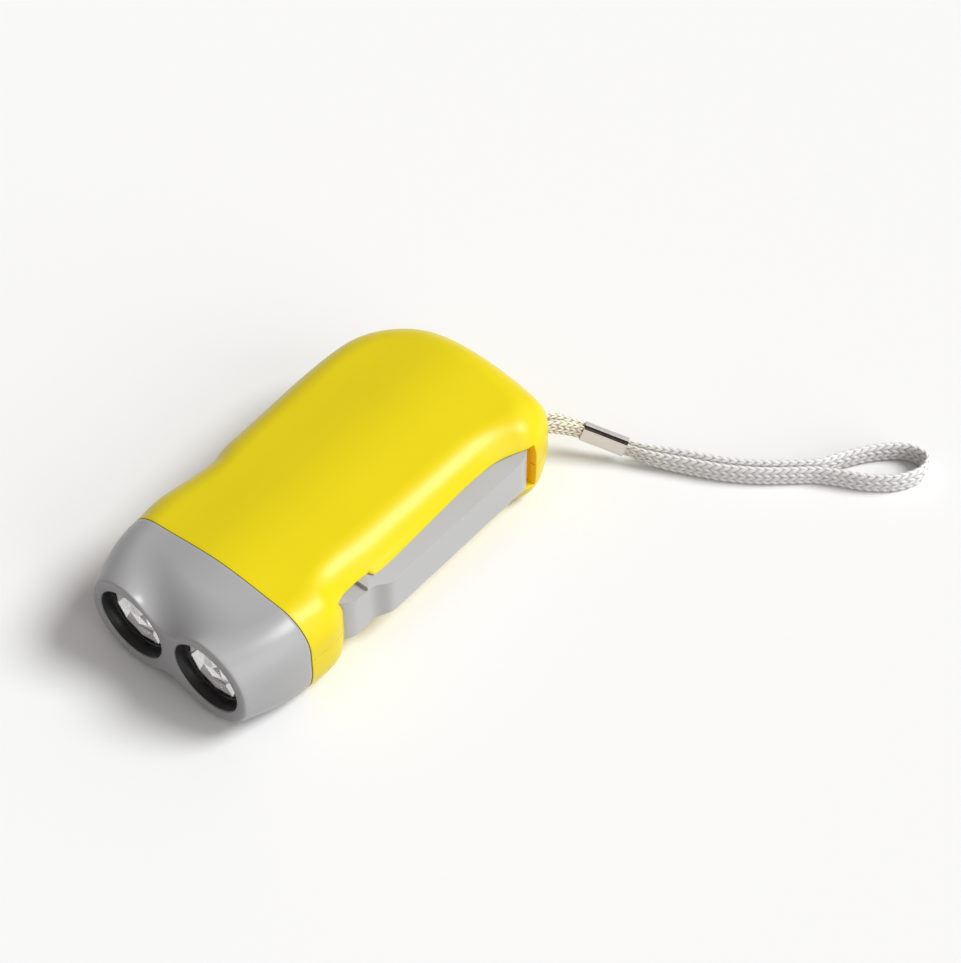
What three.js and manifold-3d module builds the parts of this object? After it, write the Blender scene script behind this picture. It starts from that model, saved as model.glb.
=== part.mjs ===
// Hand press dynamo torch with two lamps, a side lever and a wrist strap.
// Millimetres, +Z up. The lamps look along -Y, the lever is on the +X side and the strap leaves the tail.
// It lies on the flat land of its lower shell: the origin is on that land, under the middle of the case.
// Inside the group, Y is counted from the front face of the lamp head towards the tail.
import * as THREE from 'three';
import { mergeVertices } from 'three/addons/utils/BufferGeometryUtils.js';
import Module from 'manifold-3d';

const wasm = await Module();
wasm.setup();

// Case: outer sizes
const caseLength = 103.4;
const caseHalfWidth = 28;
const caseHalfHeight = 13.6;
const wall = 1.8;
const cornerRadius = 8.6;
const lowerCornerRadius = 4.8;
const bandHalf = 2.9;
const crownDrop = 1.9;
const lowerCrownDrop = 1.1;
const crownHalfSpan = 22;
const landDepth = 0.3;
const midZ = caseHalfHeight - landDepth;

// Clearances
const gap = 0.3;
const jointGap = 0.2;
const overrun = 1;

// Lamp head
const headLength = 17.5;
const lampX = 10.95;
const boreRadius = 9;
const lobeHalfWidth = 11.35;
const lobeHalfHeight = 12;
const lobeBandHalf = 0.8;
const waistTop = 6;
const waistBottom = 8.6;
const waistLag = 0.9;
const rimRound = 0.5;
const spigotWall = 1.5;
const spigotLength = 3;
const headSolidLength = 9;

// Lamps
const sleeveWall = 0.7;
const sleeveLength = 15.7;
const lensDepth = 3.2;
const lensThickness = 1;
const reflectorDepth = 6.4;
const reflectorWall = 0.7;
const reflectorFloorRadius = 3.3;
const ledRadius = 2.5;
const ledFlangeRadius = 2.9;
const ledFlangeThickness = 1;
const ledHeight = 7.4;
const boardThickness = 1.2;
const boardMargin = 2.1;
const boardHalfHeight = 6.5;

// Lever: it stands proud of the case's wall beside the grip, and turns about a pin near the head
const leverSideShare = 0.825;
const leverProud = 3.8;
const leverNeckStep = 2.4;
const leverGripWidth = 6.3;
const pivotInset = 1.8;
const pivotShare = 0.3211;
const leverEndShare = 0.853;
const leverEndGap = 2;
const pinRadius = 1.5;
const pinSeat = 0.8;
const hubRadius = 5.6;
const leverHeightShare = 0.46;
const leverHalfHeight = leverHeightShare * caseHalfHeight;
const leverBevel = 1.1;
const leverBevelWidth = 4.2;
const leastBevelShare = 0.1;
const slotClearance = 0.35;
const leverFaceX = leverSideShare * caseHalfWidth + leverProud;
const leverNeckX = leverFaceX - leverNeckStep;
const leverInnerX = leverFaceX - leverGripWidth;
const pivotX = leverInnerX - pivotInset;
const pivotY = pivotShare * caseLength;
const leverEndY = leverEndShare * caseLength;
const slotEndY = leverEndY + leverEndGap;

// Gear train: lever rack, drive gear, step gear, rotor. Places are shares of the half width and of the length.
const rackTeeth = 44;
const drivePinionTeeth = 12;
const driveWheelTeeth = 30;
const stepPinionTeeth = 12;
const stepWheelTeeth = 36;
const rotorPinionTeeth = 10;
const axleRadius = 1.2;
const driveAtShares = [0.202, 0.5602];
const stepAtShares = [-0.3177, 0.6673];
const rotorAtShares = [0.0363, 0.7641];

// Heights of the works above the table, as shares of the middle height
const rackBottomShare = 0.632;
const rackTopShare = 0.857;
const driveWheelBottomShare = 0.902;
const driveWheelTopShare = 1.098;
const stepWheelBottomShare = 1.158;
const stepWheelTopShare = 1.346;
const plateBottomShare = 1.395;
const statorBottomShare = 0.24;
const statorTopShare = 0.872;
const magnetTopShare = 0.827;
const cellBottomShare = 0.271;
const cellHeightShare = 0.398;
const plateThickness = 1.6;
const rackBottom = rackBottomShare * midZ;
const rackTop = rackTopShare * midZ;
const driveWheelBottom = driveWheelBottomShare * midZ;
const driveWheelTop = driveWheelTopShare * midZ;
const stepWheelBottom = stepWheelBottomShare * midZ;
const stepWheelTop = stepWheelTopShare * midZ;
const plateBottom = plateBottomShare * midZ;
const statorBottom = statorBottomShare * midZ;
const statorTop = statorTopShare * midZ;
const magnetTop = magnetTopShare * midZ;
const cellBottom = cellBottomShare * midZ;
const cellHeight = cellHeightShare * midZ;

// Dynamo
const statorShare = 0.5325;
const magnetShare = 0.5;
const clawThickness = 0.8;

// Switch in the palm side, its knob a little proud of the recess
const palmSideShare = 0.92;
const knobProud = 0.94;
const knobDepth = 3.2;
const knobFlangeThickness = 0.8;
const switchBodyWidth = 4;
const switchShare = 0.353;
const switchTravel = 3;
const switchHalfHeight = 3.2;
const switchY = switchShare * caseLength;
const knobOuterX = -palmSideShare * caseHalfWidth - knobProud;
const knobFlangeX = knobOuterX + knobDepth;
const switchFaceX = knobFlangeX + knobFlangeThickness + gap;

// Cells beside the switch, behind the front screws
const cellCount = 3;
const cellRadius = 5.75;
const cradleWall = 1;
const cradleMargin = 0.85;
const cellSetback = 9.1;
const screwRadius = 1.1;
const screwHeadRadius = 2.3;
const screwHeadHeight = 1.5;
const screwBossRadius = 3.6;
const screwMargin = 0.8;
const rearScrewLeftShare = -0.589;
const rearScrewRightShare = 0.393;
const frontScrewY = headLength + spigotLength + screwBossRadius + screwMargin;
const cellX = switchFaceX + switchBodyWidth + cradleMargin + cradleWall + gap + cellRadius;
const cellY = frontScrewY + cellSetback;

// Strap
const tapeWidth = 5.6;
const tapeNarrow = 3.9;
const tapeThickness = 1;
const tapeCorner = 0.28;
const strapPostShares = [0.6643, 0.9226];
const strapPostX = strapPostShares[0] * caseHalfWidth;
const strapPostY = strapPostShares[1] * caseLength;
const strapPostRadius = 1.4;

// Facets of round pieces
const boreSides = 24;
const smallSides = 12;
const shankSides = 10;

const plastic = (color, roughness = 0.45) => new THREE.MeshStandardMaterial({ color, roughness, metalness: 0 });
const metal = (color, roughness = 0.3) => new THREE.MeshStandardMaterial({ color, roughness, metalness: 1 });
const clear = new THREE.MeshStandardMaterial({ color: 0xffffff, roughness: 0.05, transparent: true, opacity: 0.35 });
const yellow = 0xecdb29;
const grey = 0xa7a7a8;
const paleGrey = 0xcfd0d1;
const black = 0x232324;
const white = 0xe9e7df;
const steel = 0xb8babd;
const copper = 0xb4632d;
const green = 0x2f6b45;

const torch = new THREE.Group();
torch.position.y = -caseLength / 2;

// Solids

function closed(geometry) {
  const bare = geometry.clone();
  bare.deleteAttribute('normal');
  bare.deleteAttribute('uv');
  const merged = mergeVertices(bare, 1e-4);
  const points = merged.attributes.position.array;
  const corners = Array.from(merged.index.array);
  const triangles = [];
  for (let i = 0; i < corners.length; i += 3) {
    const [a, b, c] = corners.slice(i, i + 3);
    if (a !== b && b !== c && c !== a) triangles.push([a, b, c]);
  }
  const at = (k) => new THREE.Vector3().fromArray(points, 3 * k);
  const volume = triangles.reduce((sum, [a, b, c]) => sum + at(a).dot(at(b).cross(at(c))), 0);
  const outward = volume < 0 ? triangles.map(([a, b, c]) => [a, c, b]) : triangles;
  return new wasm.Manifold(new wasm.Mesh({
    numProp: 3,
    vertProperties: new Float32Array(points),
    triVerts: new Uint32Array(outward.flat()),
  }));
}

function geometryOf(solid) {
  const mesh = solid.getMesh();
  const geometry = new THREE.BufferGeometry();
  geometry.setAttribute('position', new THREE.BufferAttribute(mesh.vertProperties, 3));
  geometry.setIndex(new THREE.BufferAttribute(mesh.triVerts, 1));
  const flat = geometry.toNonIndexed();
  flat.computeVertexNormals();
  return flat;
}

// The main body of a solid, without the specks and slivers of no volume that cuts along a common face can leave.
const sliver = 0.01;
function main(solid) {
  const tidy = solid.asOriginal().simplify(sliver);
  return tidy.decompose().reduce((best, piece) => (piece.volume() > best.volume() ? piece : best));
}

function add(name, solid, material) {
  const mesh = new THREE.Mesh(geometryOf(main(solid)), material);
  mesh.name = name;
  torch.add(mesh);
  return mesh;
}

function block(x0, x1, y0, y1, z0, z1) {
  const geometry = new THREE.BoxGeometry(x1 - x0, y1 - y0, z1 - z0);
  geometry.translate((x0 + x1) / 2, (y0 + y1) / 2, (z0 + z1) / 2);
  return closed(geometry);
}

// An upright round bar.
function bar(x, y, z0, z1, radius, sides = smallSides) {
  const geometry = new THREE.CylinderGeometry(radius, radius, z1 - z0, sides);
  geometry.rotateX(Math.PI / 2);
  geometry.translate(x, y, (z0 + z1) / 2);
  return closed(geometry);
}

// A round bar along the lamps' axes.
function barAlongY(x, z, y0, y1, radius, sides = boreSides) {
  const geometry = new THREE.CylinderGeometry(radius, radius, y1 - y0, sides);
  geometry.translate(x, (y0 + y1) / 2, z);
  return closed(geometry);
}

function tube(x, y, z0, z1, outer, inner, sides = smallSides) {
  return bar(x, y, z0, z1, outer, sides).subtract(bar(x, y, z0 - overrun, z1 + overrun, inner, sides));
}

// A plate from an outline in XY.
function plate(shape, z0, z1) {
  const geometry = new THREE.ExtrudeGeometry(shape, { depth: z1 - z0, bevelEnabled: false, curveSegments: 4 });
  geometry.translate(0, 0, z0);
  return closed(geometry);
}

// A ring or cup turned about a lamp's axis: points are [radius, y].
function turned(points, x, z, sides = boreSides) {
  const ring = [...points, points[0]].map(([r, y]) => new THREE.Vector2(r, y));
  const geometry = new THREE.LatheGeometry(ring, sides);
  geometry.translate(x, 0, z);
  return closed(geometry);
}

// A round wire along a smooth curve through points.
function wire(points, radius, steps, sides) {
  const path = new THREE.CatmullRomCurve3(points.map((p) => new THREE.Vector3(...p)), false, 'centripetal');
  const section = new THREE.Shape();
  for (let i = 0; i < sides; i++) {
    const turn = (2 * Math.PI * i) / sides;
    const corner = [radius * Math.cos(turn), radius * Math.sin(turn)];
    if (i === 0) section.moveTo(...corner);
    else section.lineTo(...corner);
  }
  section.closePath();
  return closed(new THREE.ExtrudeGeometry(section, { steps, extrudePath: path, bevelEnabled: false }));
}

// Case outline, seen from above: shares of the half width and of the length, from the front on the lever side
// round the tail to the front on the palm side. It runs on past the front, where the head is cut off.
const caseOutlineShares = [
  [0.9, -0.12], [0.9, 0.05], [0.9, 0.155], [0.911, 0.193], [0.918, 0.222], [0.911, 0.248],
  [0.886, 0.267], [0.843, 0.282], [0.814, 0.302], [0.807, 0.329], [0.809, 0.353], [0.825, 0.405],
  [0.829, 0.5], [0.834, 0.61], [0.838, 0.72],
  [0.846, 0.765], [0.869, 0.795], [0.91, 0.823], [0.95, 0.846], [0.97, 0.868], [0.961, 0.892],
  [0.936, 0.911], [0.904, 0.93], [0.868, 0.948], [0.821, 0.963], [0.761, 0.976], [0.671, 0.9845],
  [0.518, 0.992], [0.25, 0.998],
  [-0.1, 1], [-0.33, 0.9965], [-0.5, 0.987], [-0.64, 0.969], [-0.76, 0.943], [-0.86, 0.911],
  [-0.935, 0.873], [-0.978, 0.832], [-0.996, 0.78], [-1, 0.72], [-0.989, 0.62], [-0.974, 0.55],
  [-0.964, 0.48], [-0.956, 0.435], [-0.935, 0.408], [-0.919, 0.392], [-0.921, 0.37], [-0.938, 0.325],
  [-0.962, 0.28], [-0.978, 0.245], [-0.974, 0.21], [-0.957, 0.17], [-0.957, 0.05], [-0.957, -0.12],
];
const caseOutline = caseOutlineShares.map(([x, y]) => [x * caseHalfWidth, y * caseLength]);
const seamRight = caseOutlineShares[0][0] * caseHalfWidth;
const seamLeft = -caseOutlineShares[caseOutlineShares.length - 1][0] * caseHalfWidth;

// Moves a closed outline inwards by a distance.
function inset(outline, distance) {
  const n = outline.length;
  return outline.map(([x, y], i) => {
    const [px, py] = outline[(i + n - 1) % n];
    const [qx, qy] = outline[(i + 1) % n];
    const before = new THREE.Vector2(x - px, y - py).normalize();
    const after = new THREE.Vector2(qx - x, qy - y).normalize();
    const inward = new THREE.Vector2(-before.y - after.y, before.x + after.x).normalize();
    const stretch = distance / Math.max(-before.y * inward.x + before.x * inward.y, 0.5);
    return [x + inward.x * stretch, y + inward.y * stretch];
  });
}

// Half height of the crowned case at a place across it: side is 1 above and -1 below.
function crown(x, side) {
  const share = Math.min(Math.abs(x) / crownHalfSpan, 1);
  return caseHalfHeight - (side > 0 ? crownDrop : lowerCrownDrop) * Math.sin((Math.PI / 2) * share) ** 2;
}

// Joins a stack of rings of equally many points and closes both ends with a fan about their middle.
function skin(rings) {
  const n = rings[0].length;
  const last = (rings.length - 1) * n;
  const middle = (ring) => [0, 1, 2].map((axis) => ring.reduce((sum, p) => sum + p[axis], 0) / n);
  const points = [...rings.flat(2), ...middle(rings[0]), ...middle(rings[rings.length - 1])];
  const startMiddle = last + n;
  const triangles = [];
  for (let i = 0; i < n; i++) {
    const next = (i + 1) % n;
    for (let k = 0; k + 1 < rings.length; k++) {
      const a = k * n + i;
      const b = k * n + next;
      triangles.push(a, b, b + n, a, b + n, a + n);
    }
    triangles.push(startMiddle, next, i, startMiddle + 1, last + i, last + next);
  }
  const geometry = new THREE.BufferGeometry();
  geometry.setAttribute('position', new THREE.Float32BufferAttribute(points, 3));
  geometry.setIndex(triangles);
  return geometry;
}

// The case's rounded shape, moved inwards by a distance. It reaches out through the front.
const spineShares = [0.4, 0.8];
const spineFrontShare = 0.3;
const spineBackShare = 0.8;
function caseSolid(distance, arcSteps) {
  const half = (side) => {
    const rest = (side > 0 ? cornerRadius : lowerCornerRadius) - distance;
    const rings = [];
    for (let k = 0; k <= arcSteps; k++) {
      const turn = ((Math.PI / 2) * k) / arcSteps;
      const line = inset(caseOutline, distance + rest * (1 - Math.cos(turn)));
      rings.push(line.map(([x, y]) => {
        const rise = bandHalf + (crown(x, side) - distance - bandHalf) * Math.sin(turn);
        return [x, y, Math.max(midZ + side * rise, distance)];
      }));
    }
    const edge = rings[arcSteps];
    for (const share of spineShares) {
      rings.push(edge.map(([x, y]) => {
        const spineY = THREE.MathUtils.clamp(y, spineFrontShare * caseLength, spineBackShare * caseLength);
        const [u, v] = [x * (1 - share), THREE.MathUtils.lerp(y, spineY, share)];
        return [u, v, Math.max(midZ + side * (crown(u, side) - distance), distance)];
      }));
    }
    return rings;
  };
  return closed(skin([...half(-1).reverse(), ...half(1)]));
}

const caseOuter = caseSolid(0, 4);
const caseInner = caseSolid(wall, 2);
const caseCore = caseSolid(wall / 3, 2);

// Case screws: front pair, clear of the cells and of the lever's hub, then rear pair
const screwBesideCells = 3.5;
const frontScrewLeftX = cellX - screwBesideCells;
const frontScrewRightX = pivotX - hubRadius - gap - screwBossRadius;
const rearScrewInset = 10.4;
const rearScrewY = caseLength - rearScrewInset;
const rearScrewLeftX = rearScrewLeftShare * caseHalfWidth;
const rearScrewRightX = rearScrewRightShare * caseHalfWidth;
const screwPlaces = [
  [frontScrewLeftX, frontScrewY],
  [frontScrewRightX, frontScrewY],
  [rearScrewLeftX, rearScrewY],
  [rearScrewRightX, rearScrewY],
];
const screwHeadBottom = 1.2;
const screwLength = 13.5;
const screwHeadTop = screwHeadBottom + screwHeadHeight;

// Gear places, and the modules that make each pair of gears meet
const pivot = [pivotX, pivotY];
const inCase = ([x, y]) => [x * caseHalfWidth, y * caseLength];
const driveAt = inCase(driveAtShares);
const stepAt = inCase(stepAtShares);
const rotorAt = inCase(rotorAtShares);
const apart = ([x0, y0], [x1, y1]) => Math.hypot(x1 - x0, y1 - y0);
const heading = ([x0, y0], [x1, y1]) => Math.atan2(y1 - y0, x1 - x0);
const coarseModule = (2 * apart(pivot, driveAt)) / (rackTeeth + drivePinionTeeth);
const middleModule = (2 * apart(driveAt, stepAt)) / (driveWheelTeeth + stepPinionTeeth);
const fineModule = (2 * apart(stepAt, rotorAt)) / (stepWheelTeeth + rotorPinionTeeth);
const driveDirection = heading(pivot, driveAt);
const stepDirection = heading(driveAt, stepAt);
const rotorDirection = heading(stepAt, rotorAt);
const rackRadius = (rackTeeth * coarseModule) / 2;
const drivePinionRadius = (drivePinionTeeth * coarseModule) / 2;
const statorRadius = statorShare * apart(driveAt, rotorAt);
const magnetRadius = magnetShare * statorRadius;
const away = ([x, y], direction, distance) => [
  x + distance * Math.cos(direction),
  y + distance * Math.sin(direction),
];

// Posts that carry the gear plate
const postRadius = 2.8;
const postAside = 0.5;
const postShares = [[0.564, 0.6963], [-0.7, 0.7785]];
const cellPost = [cellX + postAside, cellY + cellRadius + gap + cradleWall + postRadius];
const postPlaces = [cellPost, ...postShares.map(inCase)];
const plateScrewRadius = 0.9;
const plateScrewHeadRadius = 1.9;
const plateScrewHeadHeight = 1.1;
const plateScrewLength = 6;

// Bosses and seats on the floor of the lower shell
const axleBossRadius = 3;
const driveBossTop = rackBottom - 2 * gap;
const stepBossTop = driveWheelBottom - 2 * gap;
const pivotBossRadius = 3.2;
const springAside = 6.4;
const springSetback = 8.4;
const springX = pivotX - springAside;
const springY = pivotY + springSetback;
const springRadius = 3.1;
const springWireRadius = 0.35;
const springLegRise = 5;
const springPostTop = rackBottom - 2 * gap;
const statorSeatTop = statorBottom - gap;
const cradleTop = magnetTop;
const contactThickness = 0.3;
const axleFoot = 2.6;

const switchSeatHalf = 1.8;
const switchSeatX = switchFaceX + switchSeatHalf;

// Strap outlet in the wall of the tail
const outletShares = [0.743, 0.9768];
const [outletX, outletY] = inCase(outletShares);
const outletTurn = THREE.MathUtils.degToRad(-20);
const outletHalfWidth = 2.6;
const outletHalfHeight = 3;
const outletHalfDepth = 3;

const slotBottom = midZ - leverHalfHeight - slotClearance;
const slotTop = midZ + leverHalfHeight + slotClearance;
const slotInnerX = leverInnerX - gap;

// The slot for the lever: a straight run and a round pocket for the hub.
function slot() {
  const run = block(slotInnerX, caseHalfWidth + overrun, pivotY, slotEndY, slotBottom, slotTop);
  const pocket = bar(pivotX, pivotY, slotBottom, slotTop, hubRadius + gap, boreSides);
  return run.add(pocket);
}

// The opening that the strap leaves by.
function outlet() {
  const geometry = new THREE.BoxGeometry(2 * outletHalfWidth, 2 * outletHalfDepth, 2 * outletHalfHeight);
  geometry.rotateZ(outletTurn);
  geometry.translate(outletX, outletY, midZ);
  return closed(geometry);
}

// The opening for the knob of the switch, in the palm side.
const knobHalfLength = 3.2;
const knobHalfHeight = 2;
function switchWindow() {
  const reach = knobHalfLength + switchTravel / 2 + gap;
  return block(-caseHalfWidth - overrun, -caseHalfWidth + 3 * wall, switchY - reach, switchY + reach,
    midZ - knobHalfHeight - gap, midZ + knobHalfHeight + gap);
}

const seamPlane = headLength + jointGap / 2;
const below = block(-2 * caseHalfWidth, 2 * caseHalfWidth, seamPlane, 2 * caseLength, -overrun, midZ - jointGap / 2);
const above = block(-2 * caseHalfWidth, 2 * caseHalfWidth, seamPlane, 2 * caseLength, midZ + jointGap / 2,
  2 * caseHalfHeight);
const hollowCase = caseOuter.subtract(caseInner);

function lowerShell() {
  let shell = hollowCase.intersect(below);
  let bosses = bar(...pivot, 0, slotBottom, pivotBossRadius);
  bosses = bosses.add(bar(...driveAt, 0, driveBossTop, axleBossRadius));
  bosses = bosses.add(bar(springX, springY, 0, springPostTop, springRadius - springWireRadius - 2 * gap));
  bosses = bosses.add(bar(...stepAt, 0, stepBossTop, axleBossRadius));
  bosses = bosses.add(bar(...rotorAt, 0, statorSeatTop, statorRadius, boreSides));
  bosses = bosses.add(bar(strapPostX, strapPostY, 0, midZ - outletHalfHeight - gap, strapPostRadius + wall));
  bosses = bosses.add(tube(cellX, cellY, 0, cradleTop, cellRadius + gap + cradleWall, cellRadius + gap, boreSides));
  bosses = bosses.add(bar(cellX, cellY, 0, cellBottom - contactThickness - 2 * gap, cellRadius + gap, boreSides));
  for (const place of screwPlaces) bosses = bosses.add(bar(...place, 0, midZ - jointGap / 2, screwBossRadius));
  for (const place of postPlaces) bosses = bosses.add(bar(...place, 0, plateBottom - gap, postRadius));
  bosses = bosses.add(block(switchSeatX - switchSeatHalf, switchSeatX + switchSeatHalf, switchY - switchSeatHalf,
    switchY + switchSeatHalf, 0, midZ - switchHalfHeight - gap));
  shell = shell.add(bosses.intersect(caseCore).intersect(below.add(block(-caseHalfWidth, caseHalfWidth,
    postPlaces[0][1] - postRadius, caseLength - cornerRadius, 0, plateBottom))));
  for (const place of screwPlaces) {
    shell = shell.subtract(bar(...place, -overrun, screwHeadTop + gap, screwHeadRadius + gap));
    shell = shell.subtract(bar(...place, 0, midZ, screwRadius + gap));
  }
  for (const place of postPlaces) {
    shell = shell.subtract(bar(...place, plateBottom - plateScrewLength - gap, plateBottom, plateScrewRadius + gap));
  }
  shell = shell.subtract(bar(...pivot, axleFoot - gap, midZ, pinRadius + gap));
  for (const place of [driveAt, stepAt]) {
    shell = shell.subtract(bar(...place, axleFoot - gap, plateBottom, axleRadius + gap));
  }
  shell = shell.subtract(bar(...rotorAt, statorSeatTop - wall, plateBottom, axleRadius + gap));
  shell = shell.subtract(bar(strapPostX, strapPostY, 2 * axleFoot - gap, midZ, strapPostRadius + gap));
  shell = shell.subtract(bar(cellX, cellY, cellBottom - contactThickness - 2 * gap, midZ, cellRadius + gap, boreSides));
  shell = shell.subtract(bar(...rotorAt, statorSeatTop, statorTop + gap, statorRadius + gap, boreSides));
  return shell.subtract(slot()).subtract(outlet()).subtract(switchWindow());
}

const ceilingRibBottom = cellBottom + cellCount * (cellHeight + gap) + contactThickness + gap;
function upperShell() {
  let shell = hollowCase.intersect(above);
  let bosses = bar(...pivot, slotTop, 2 * midZ, pivotBossRadius);
  bosses = bosses.add(bar(strapPostX, strapPostY, midZ + outletHalfHeight + gap, 2 * midZ, strapPostRadius + wall));
  bosses = bosses.add(bar(cellX, cellY, ceilingRibBottom, 2 * midZ, cellRadius / 2));
  for (const place of screwPlaces) bosses = bosses.add(bar(...place, midZ + jointGap / 2, 2 * midZ, screwBossRadius));
  shell = shell.add(bosses.intersect(caseCore).intersect(above));
  for (const place of screwPlaces) {
    shell = shell.subtract(bar(...place, 0, screwHeadTop + screwLength + gap, screwRadius + gap));
  }
  shell = shell.subtract(bar(...pivot, 0, slotTop + pinSeat + gap, pinRadius + gap));
  shell = shell.subtract(bar(strapPostX, strapPostY, 0, midZ + outletHalfHeight + wall, strapPostRadius + gap));
  return shell.subtract(slot()).subtract(outlet()).subtract(switchWindow());
}

// Lamp head: sections blend from the two round lobes at the front to the case's own section at the seam.
const headStationShares = [0.12, 0.23, 0.37, 0.54, 0.75];
function headSection(along, cut) {
  const blend = Math.sin((Math.PI / 2) * along);
  const inner = 6;
  const outer = 7;
  const points = [];
  const quarter = (wallX, waist, sideX, sideZ) => {
    const line = [];
    const mix = (frontX, frontZ, seamX, seamZ, lag = 0) => line.push([
      sideX * THREE.MathUtils.lerp(frontX, seamX, blend),
      sideZ * THREE.MathUtils.lerp(frontZ, seamZ, blend ** (1 + lag)),
    ]);
    const radius = sideZ > 0 ? cornerRadius : lowerCornerRadius;
    const cornerX = wallX - radius;
    for (let k = 0; k < inner; k++) {
      const share = k / inner;
      const lobe = waist + (lobeHalfHeight - waist) * Math.sin((Math.PI / 2) * share) ** 2;
      mix(share * lampX, lobe, share * cornerX, crown(share * cornerX, sideZ), waistLag * (1 - share) ** 2);
    }
    for (let k = 0; k <= outer; k++) {
      const turn = (Math.PI / 2) * (1 - k / outer);
      const [across, up] = [Math.cos(turn), Math.sin(turn)];
      const seamX = cornerX + radius * across;
      mix(lampX + lobeHalfWidth * across, lobeBandHalf + (lobeHalfHeight - lobeBandHalf) * up,
        seamX, bandHalf + (crown(seamX, sideZ) - bandHalf) * up);
    }
    return line;
  };
  const topRight = quarter(seamRight, waistTop, 1, 1);
  const bottomRight = quarter(seamRight, waistBottom, 1, -1);
  const topLeft = quarter(seamLeft, waistTop, -1, 1);
  const bottomLeft = quarter(seamLeft, waistBottom, -1, -1);
  points.push(...topRight, ...bottomRight.reverse(), ...bottomLeft.slice(1), ...topLeft.slice(1).reverse());
  return inset(points.reverse(), cut);
}

function headOuter() {
  const rings = [[0, rimRound], [rimRound * (1 - Math.SQRT1_2), rimRound * (1 - Math.SQRT1_2)], [rimRound, 0],
    ...headStationShares.map((share) => [share * headLength, 0]), [headLength - jointGap / 2, 0]];
  return closed(skin(rings.map(([y, cut]) => headSection(y / headLength, cut).map(([x, z]) => [x, y, midZ + z]))));
}

function headBezel() {
  const spigotOuter = wall + gap;
  const span = (y0, y1) => block(-2 * caseHalfWidth, 2 * caseHalfWidth, y0, y1, 0, 2 * caseHalfHeight);
  const spigot = caseSolid(spigotOuter, 2).intersect(span(headLength - wall, headLength + spigotLength));
  const hollow = caseSolid(spigotOuter + spigotWall, 2)
    .intersect(span(headSolidLength, headLength + spigotLength + overrun));
  let bezel = headOuter().add(spigot).subtract(hollow);
  bezel = bezel.intersect(span(-overrun, headLength + spigotLength));
  for (const x of [-lampX, lampX]) {
    bezel = bezel.subtract(barAlongY(x, midZ, -overrun, sleeveLength + gap, boreRadius));
  }
  return bezel;
}

add('lower_shell', lowerShell(), plastic(yellow));
add('upper_shell', upperShell(), plastic(yellow));
add('head_bezel', headBezel(), plastic(grey, 0.4));

// Lamps, made alike for both sides
function lampSleeve(x) {
  const outer = boreRadius - gap;
  const inner = outer - sleeveWall;
  return turned([[inner, gap], [outer, gap], [outer, sleeveLength], [inner, sleeveLength]], x, midZ);
}

function lampLens(x) {
  const radius = boreRadius - 2 * gap - sleeveWall;
  return barAlongY(x, midZ, lensDepth, lensDepth + lensThickness, radius);
}

function lampReflector(x) {
  const mouth = boreRadius - 2 * gap - sleeveWall;
  const start = lensDepth + lensThickness + gap;
  const steps = 4;
  const inside = [];
  const outside = [];
  for (let k = 0; k <= steps; k++) {
    const share = k / steps;
    const radius = THREE.MathUtils.lerp(mouth - reflectorWall, reflectorFloorRadius, share);
    const bowl = start + reflectorDepth * Math.sqrt(1 - (radius / (mouth - reflectorWall)) ** 2);
    const depth = k === 0 ? start : bowl;
    inside.push([radius, depth]);
    outside.push([radius + reflectorWall, k === 0 ? start : depth + reflectorWall / 2]);
  }
  return turned([...inside, ...outside.reverse()], x, midZ);
}

function lampLed(x) {
  const base = sleeveLength - gap;
  const front = base - ledFlangeThickness - ledHeight;
  const steps = 4;
  const profile = [[0, base], [ledFlangeRadius, base], [ledFlangeRadius, base - ledFlangeThickness],
    [ledRadius, base - ledFlangeThickness]];
  for (let k = 0; k <= steps; k++) {
    const turn = (Math.PI / 2) * (k / steps);
    profile.push([ledRadius * Math.cos(turn), front + ledRadius * (1 - Math.sin(turn))]);
  }
  return turned(profile, x, midZ, smallSides);
}

for (const [side, x] of [['left', -lampX], ['right', lampX]]) {
  add(`lamp_sleeve_${side}`, lampSleeve(x), plastic(black, 0.5));
  add(`lens_${side}`, lampLens(x), clear);
  add(`reflector_${side}`, lampReflector(x), metal(0xdddddd, 0.08));
  add(`led_${side}`, lampLed(x), plastic(white, 0.15));
}

const boardFront = sleeveLength + gap;
const boardHalfWidth = seamRight - wall - gap - spigotWall - boardMargin;
add('lamp_board', block(-boardHalfWidth, boardHalfWidth, boardFront, boardFront + boardThickness,
  midZ - boardHalfHeight, midZ + boardHalfHeight), plastic(green));

// Gears: straight-sided teeth thinned for running clearance
const toothRootShare = 1.2;
const toothTipShare = 0.9;
const rootHalfShare = 0.9;
const tipHalfShare = 0.3;
function toothPoints(module, radius, direction) {
  const steps = [
    [radius - toothRootShare * module, rootHalfShare * module],
    [radius + toothTipShare * module, tipHalfShare * module],
  ];
  const left = steps.map(([r, half]) => [r, -half / r]);
  const right = steps.map(([r, half]) => [r, half / r]).reverse();
  return [...left, ...right].map(([r, turn]) => [r * Math.cos(direction + turn), r * Math.sin(direction + turn)]);
}

function outlineShape(points) {
  return new THREE.Shape(points.map(([x, y]) => new THREE.Vector2(x, y)));
}

function gear([x, y], teeth, module, firstTooth, z0, z1) {
  const points = [];
  for (let k = 0; k < teeth; k++) {
    points.push(...toothPoints(module, (teeth * module) / 2, firstTooth + (2 * Math.PI * k) / teeth));
  }
  return plate(outlineShape(points.map(([u, v]) => [u + x, v + y])), z0, z1);
}

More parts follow.
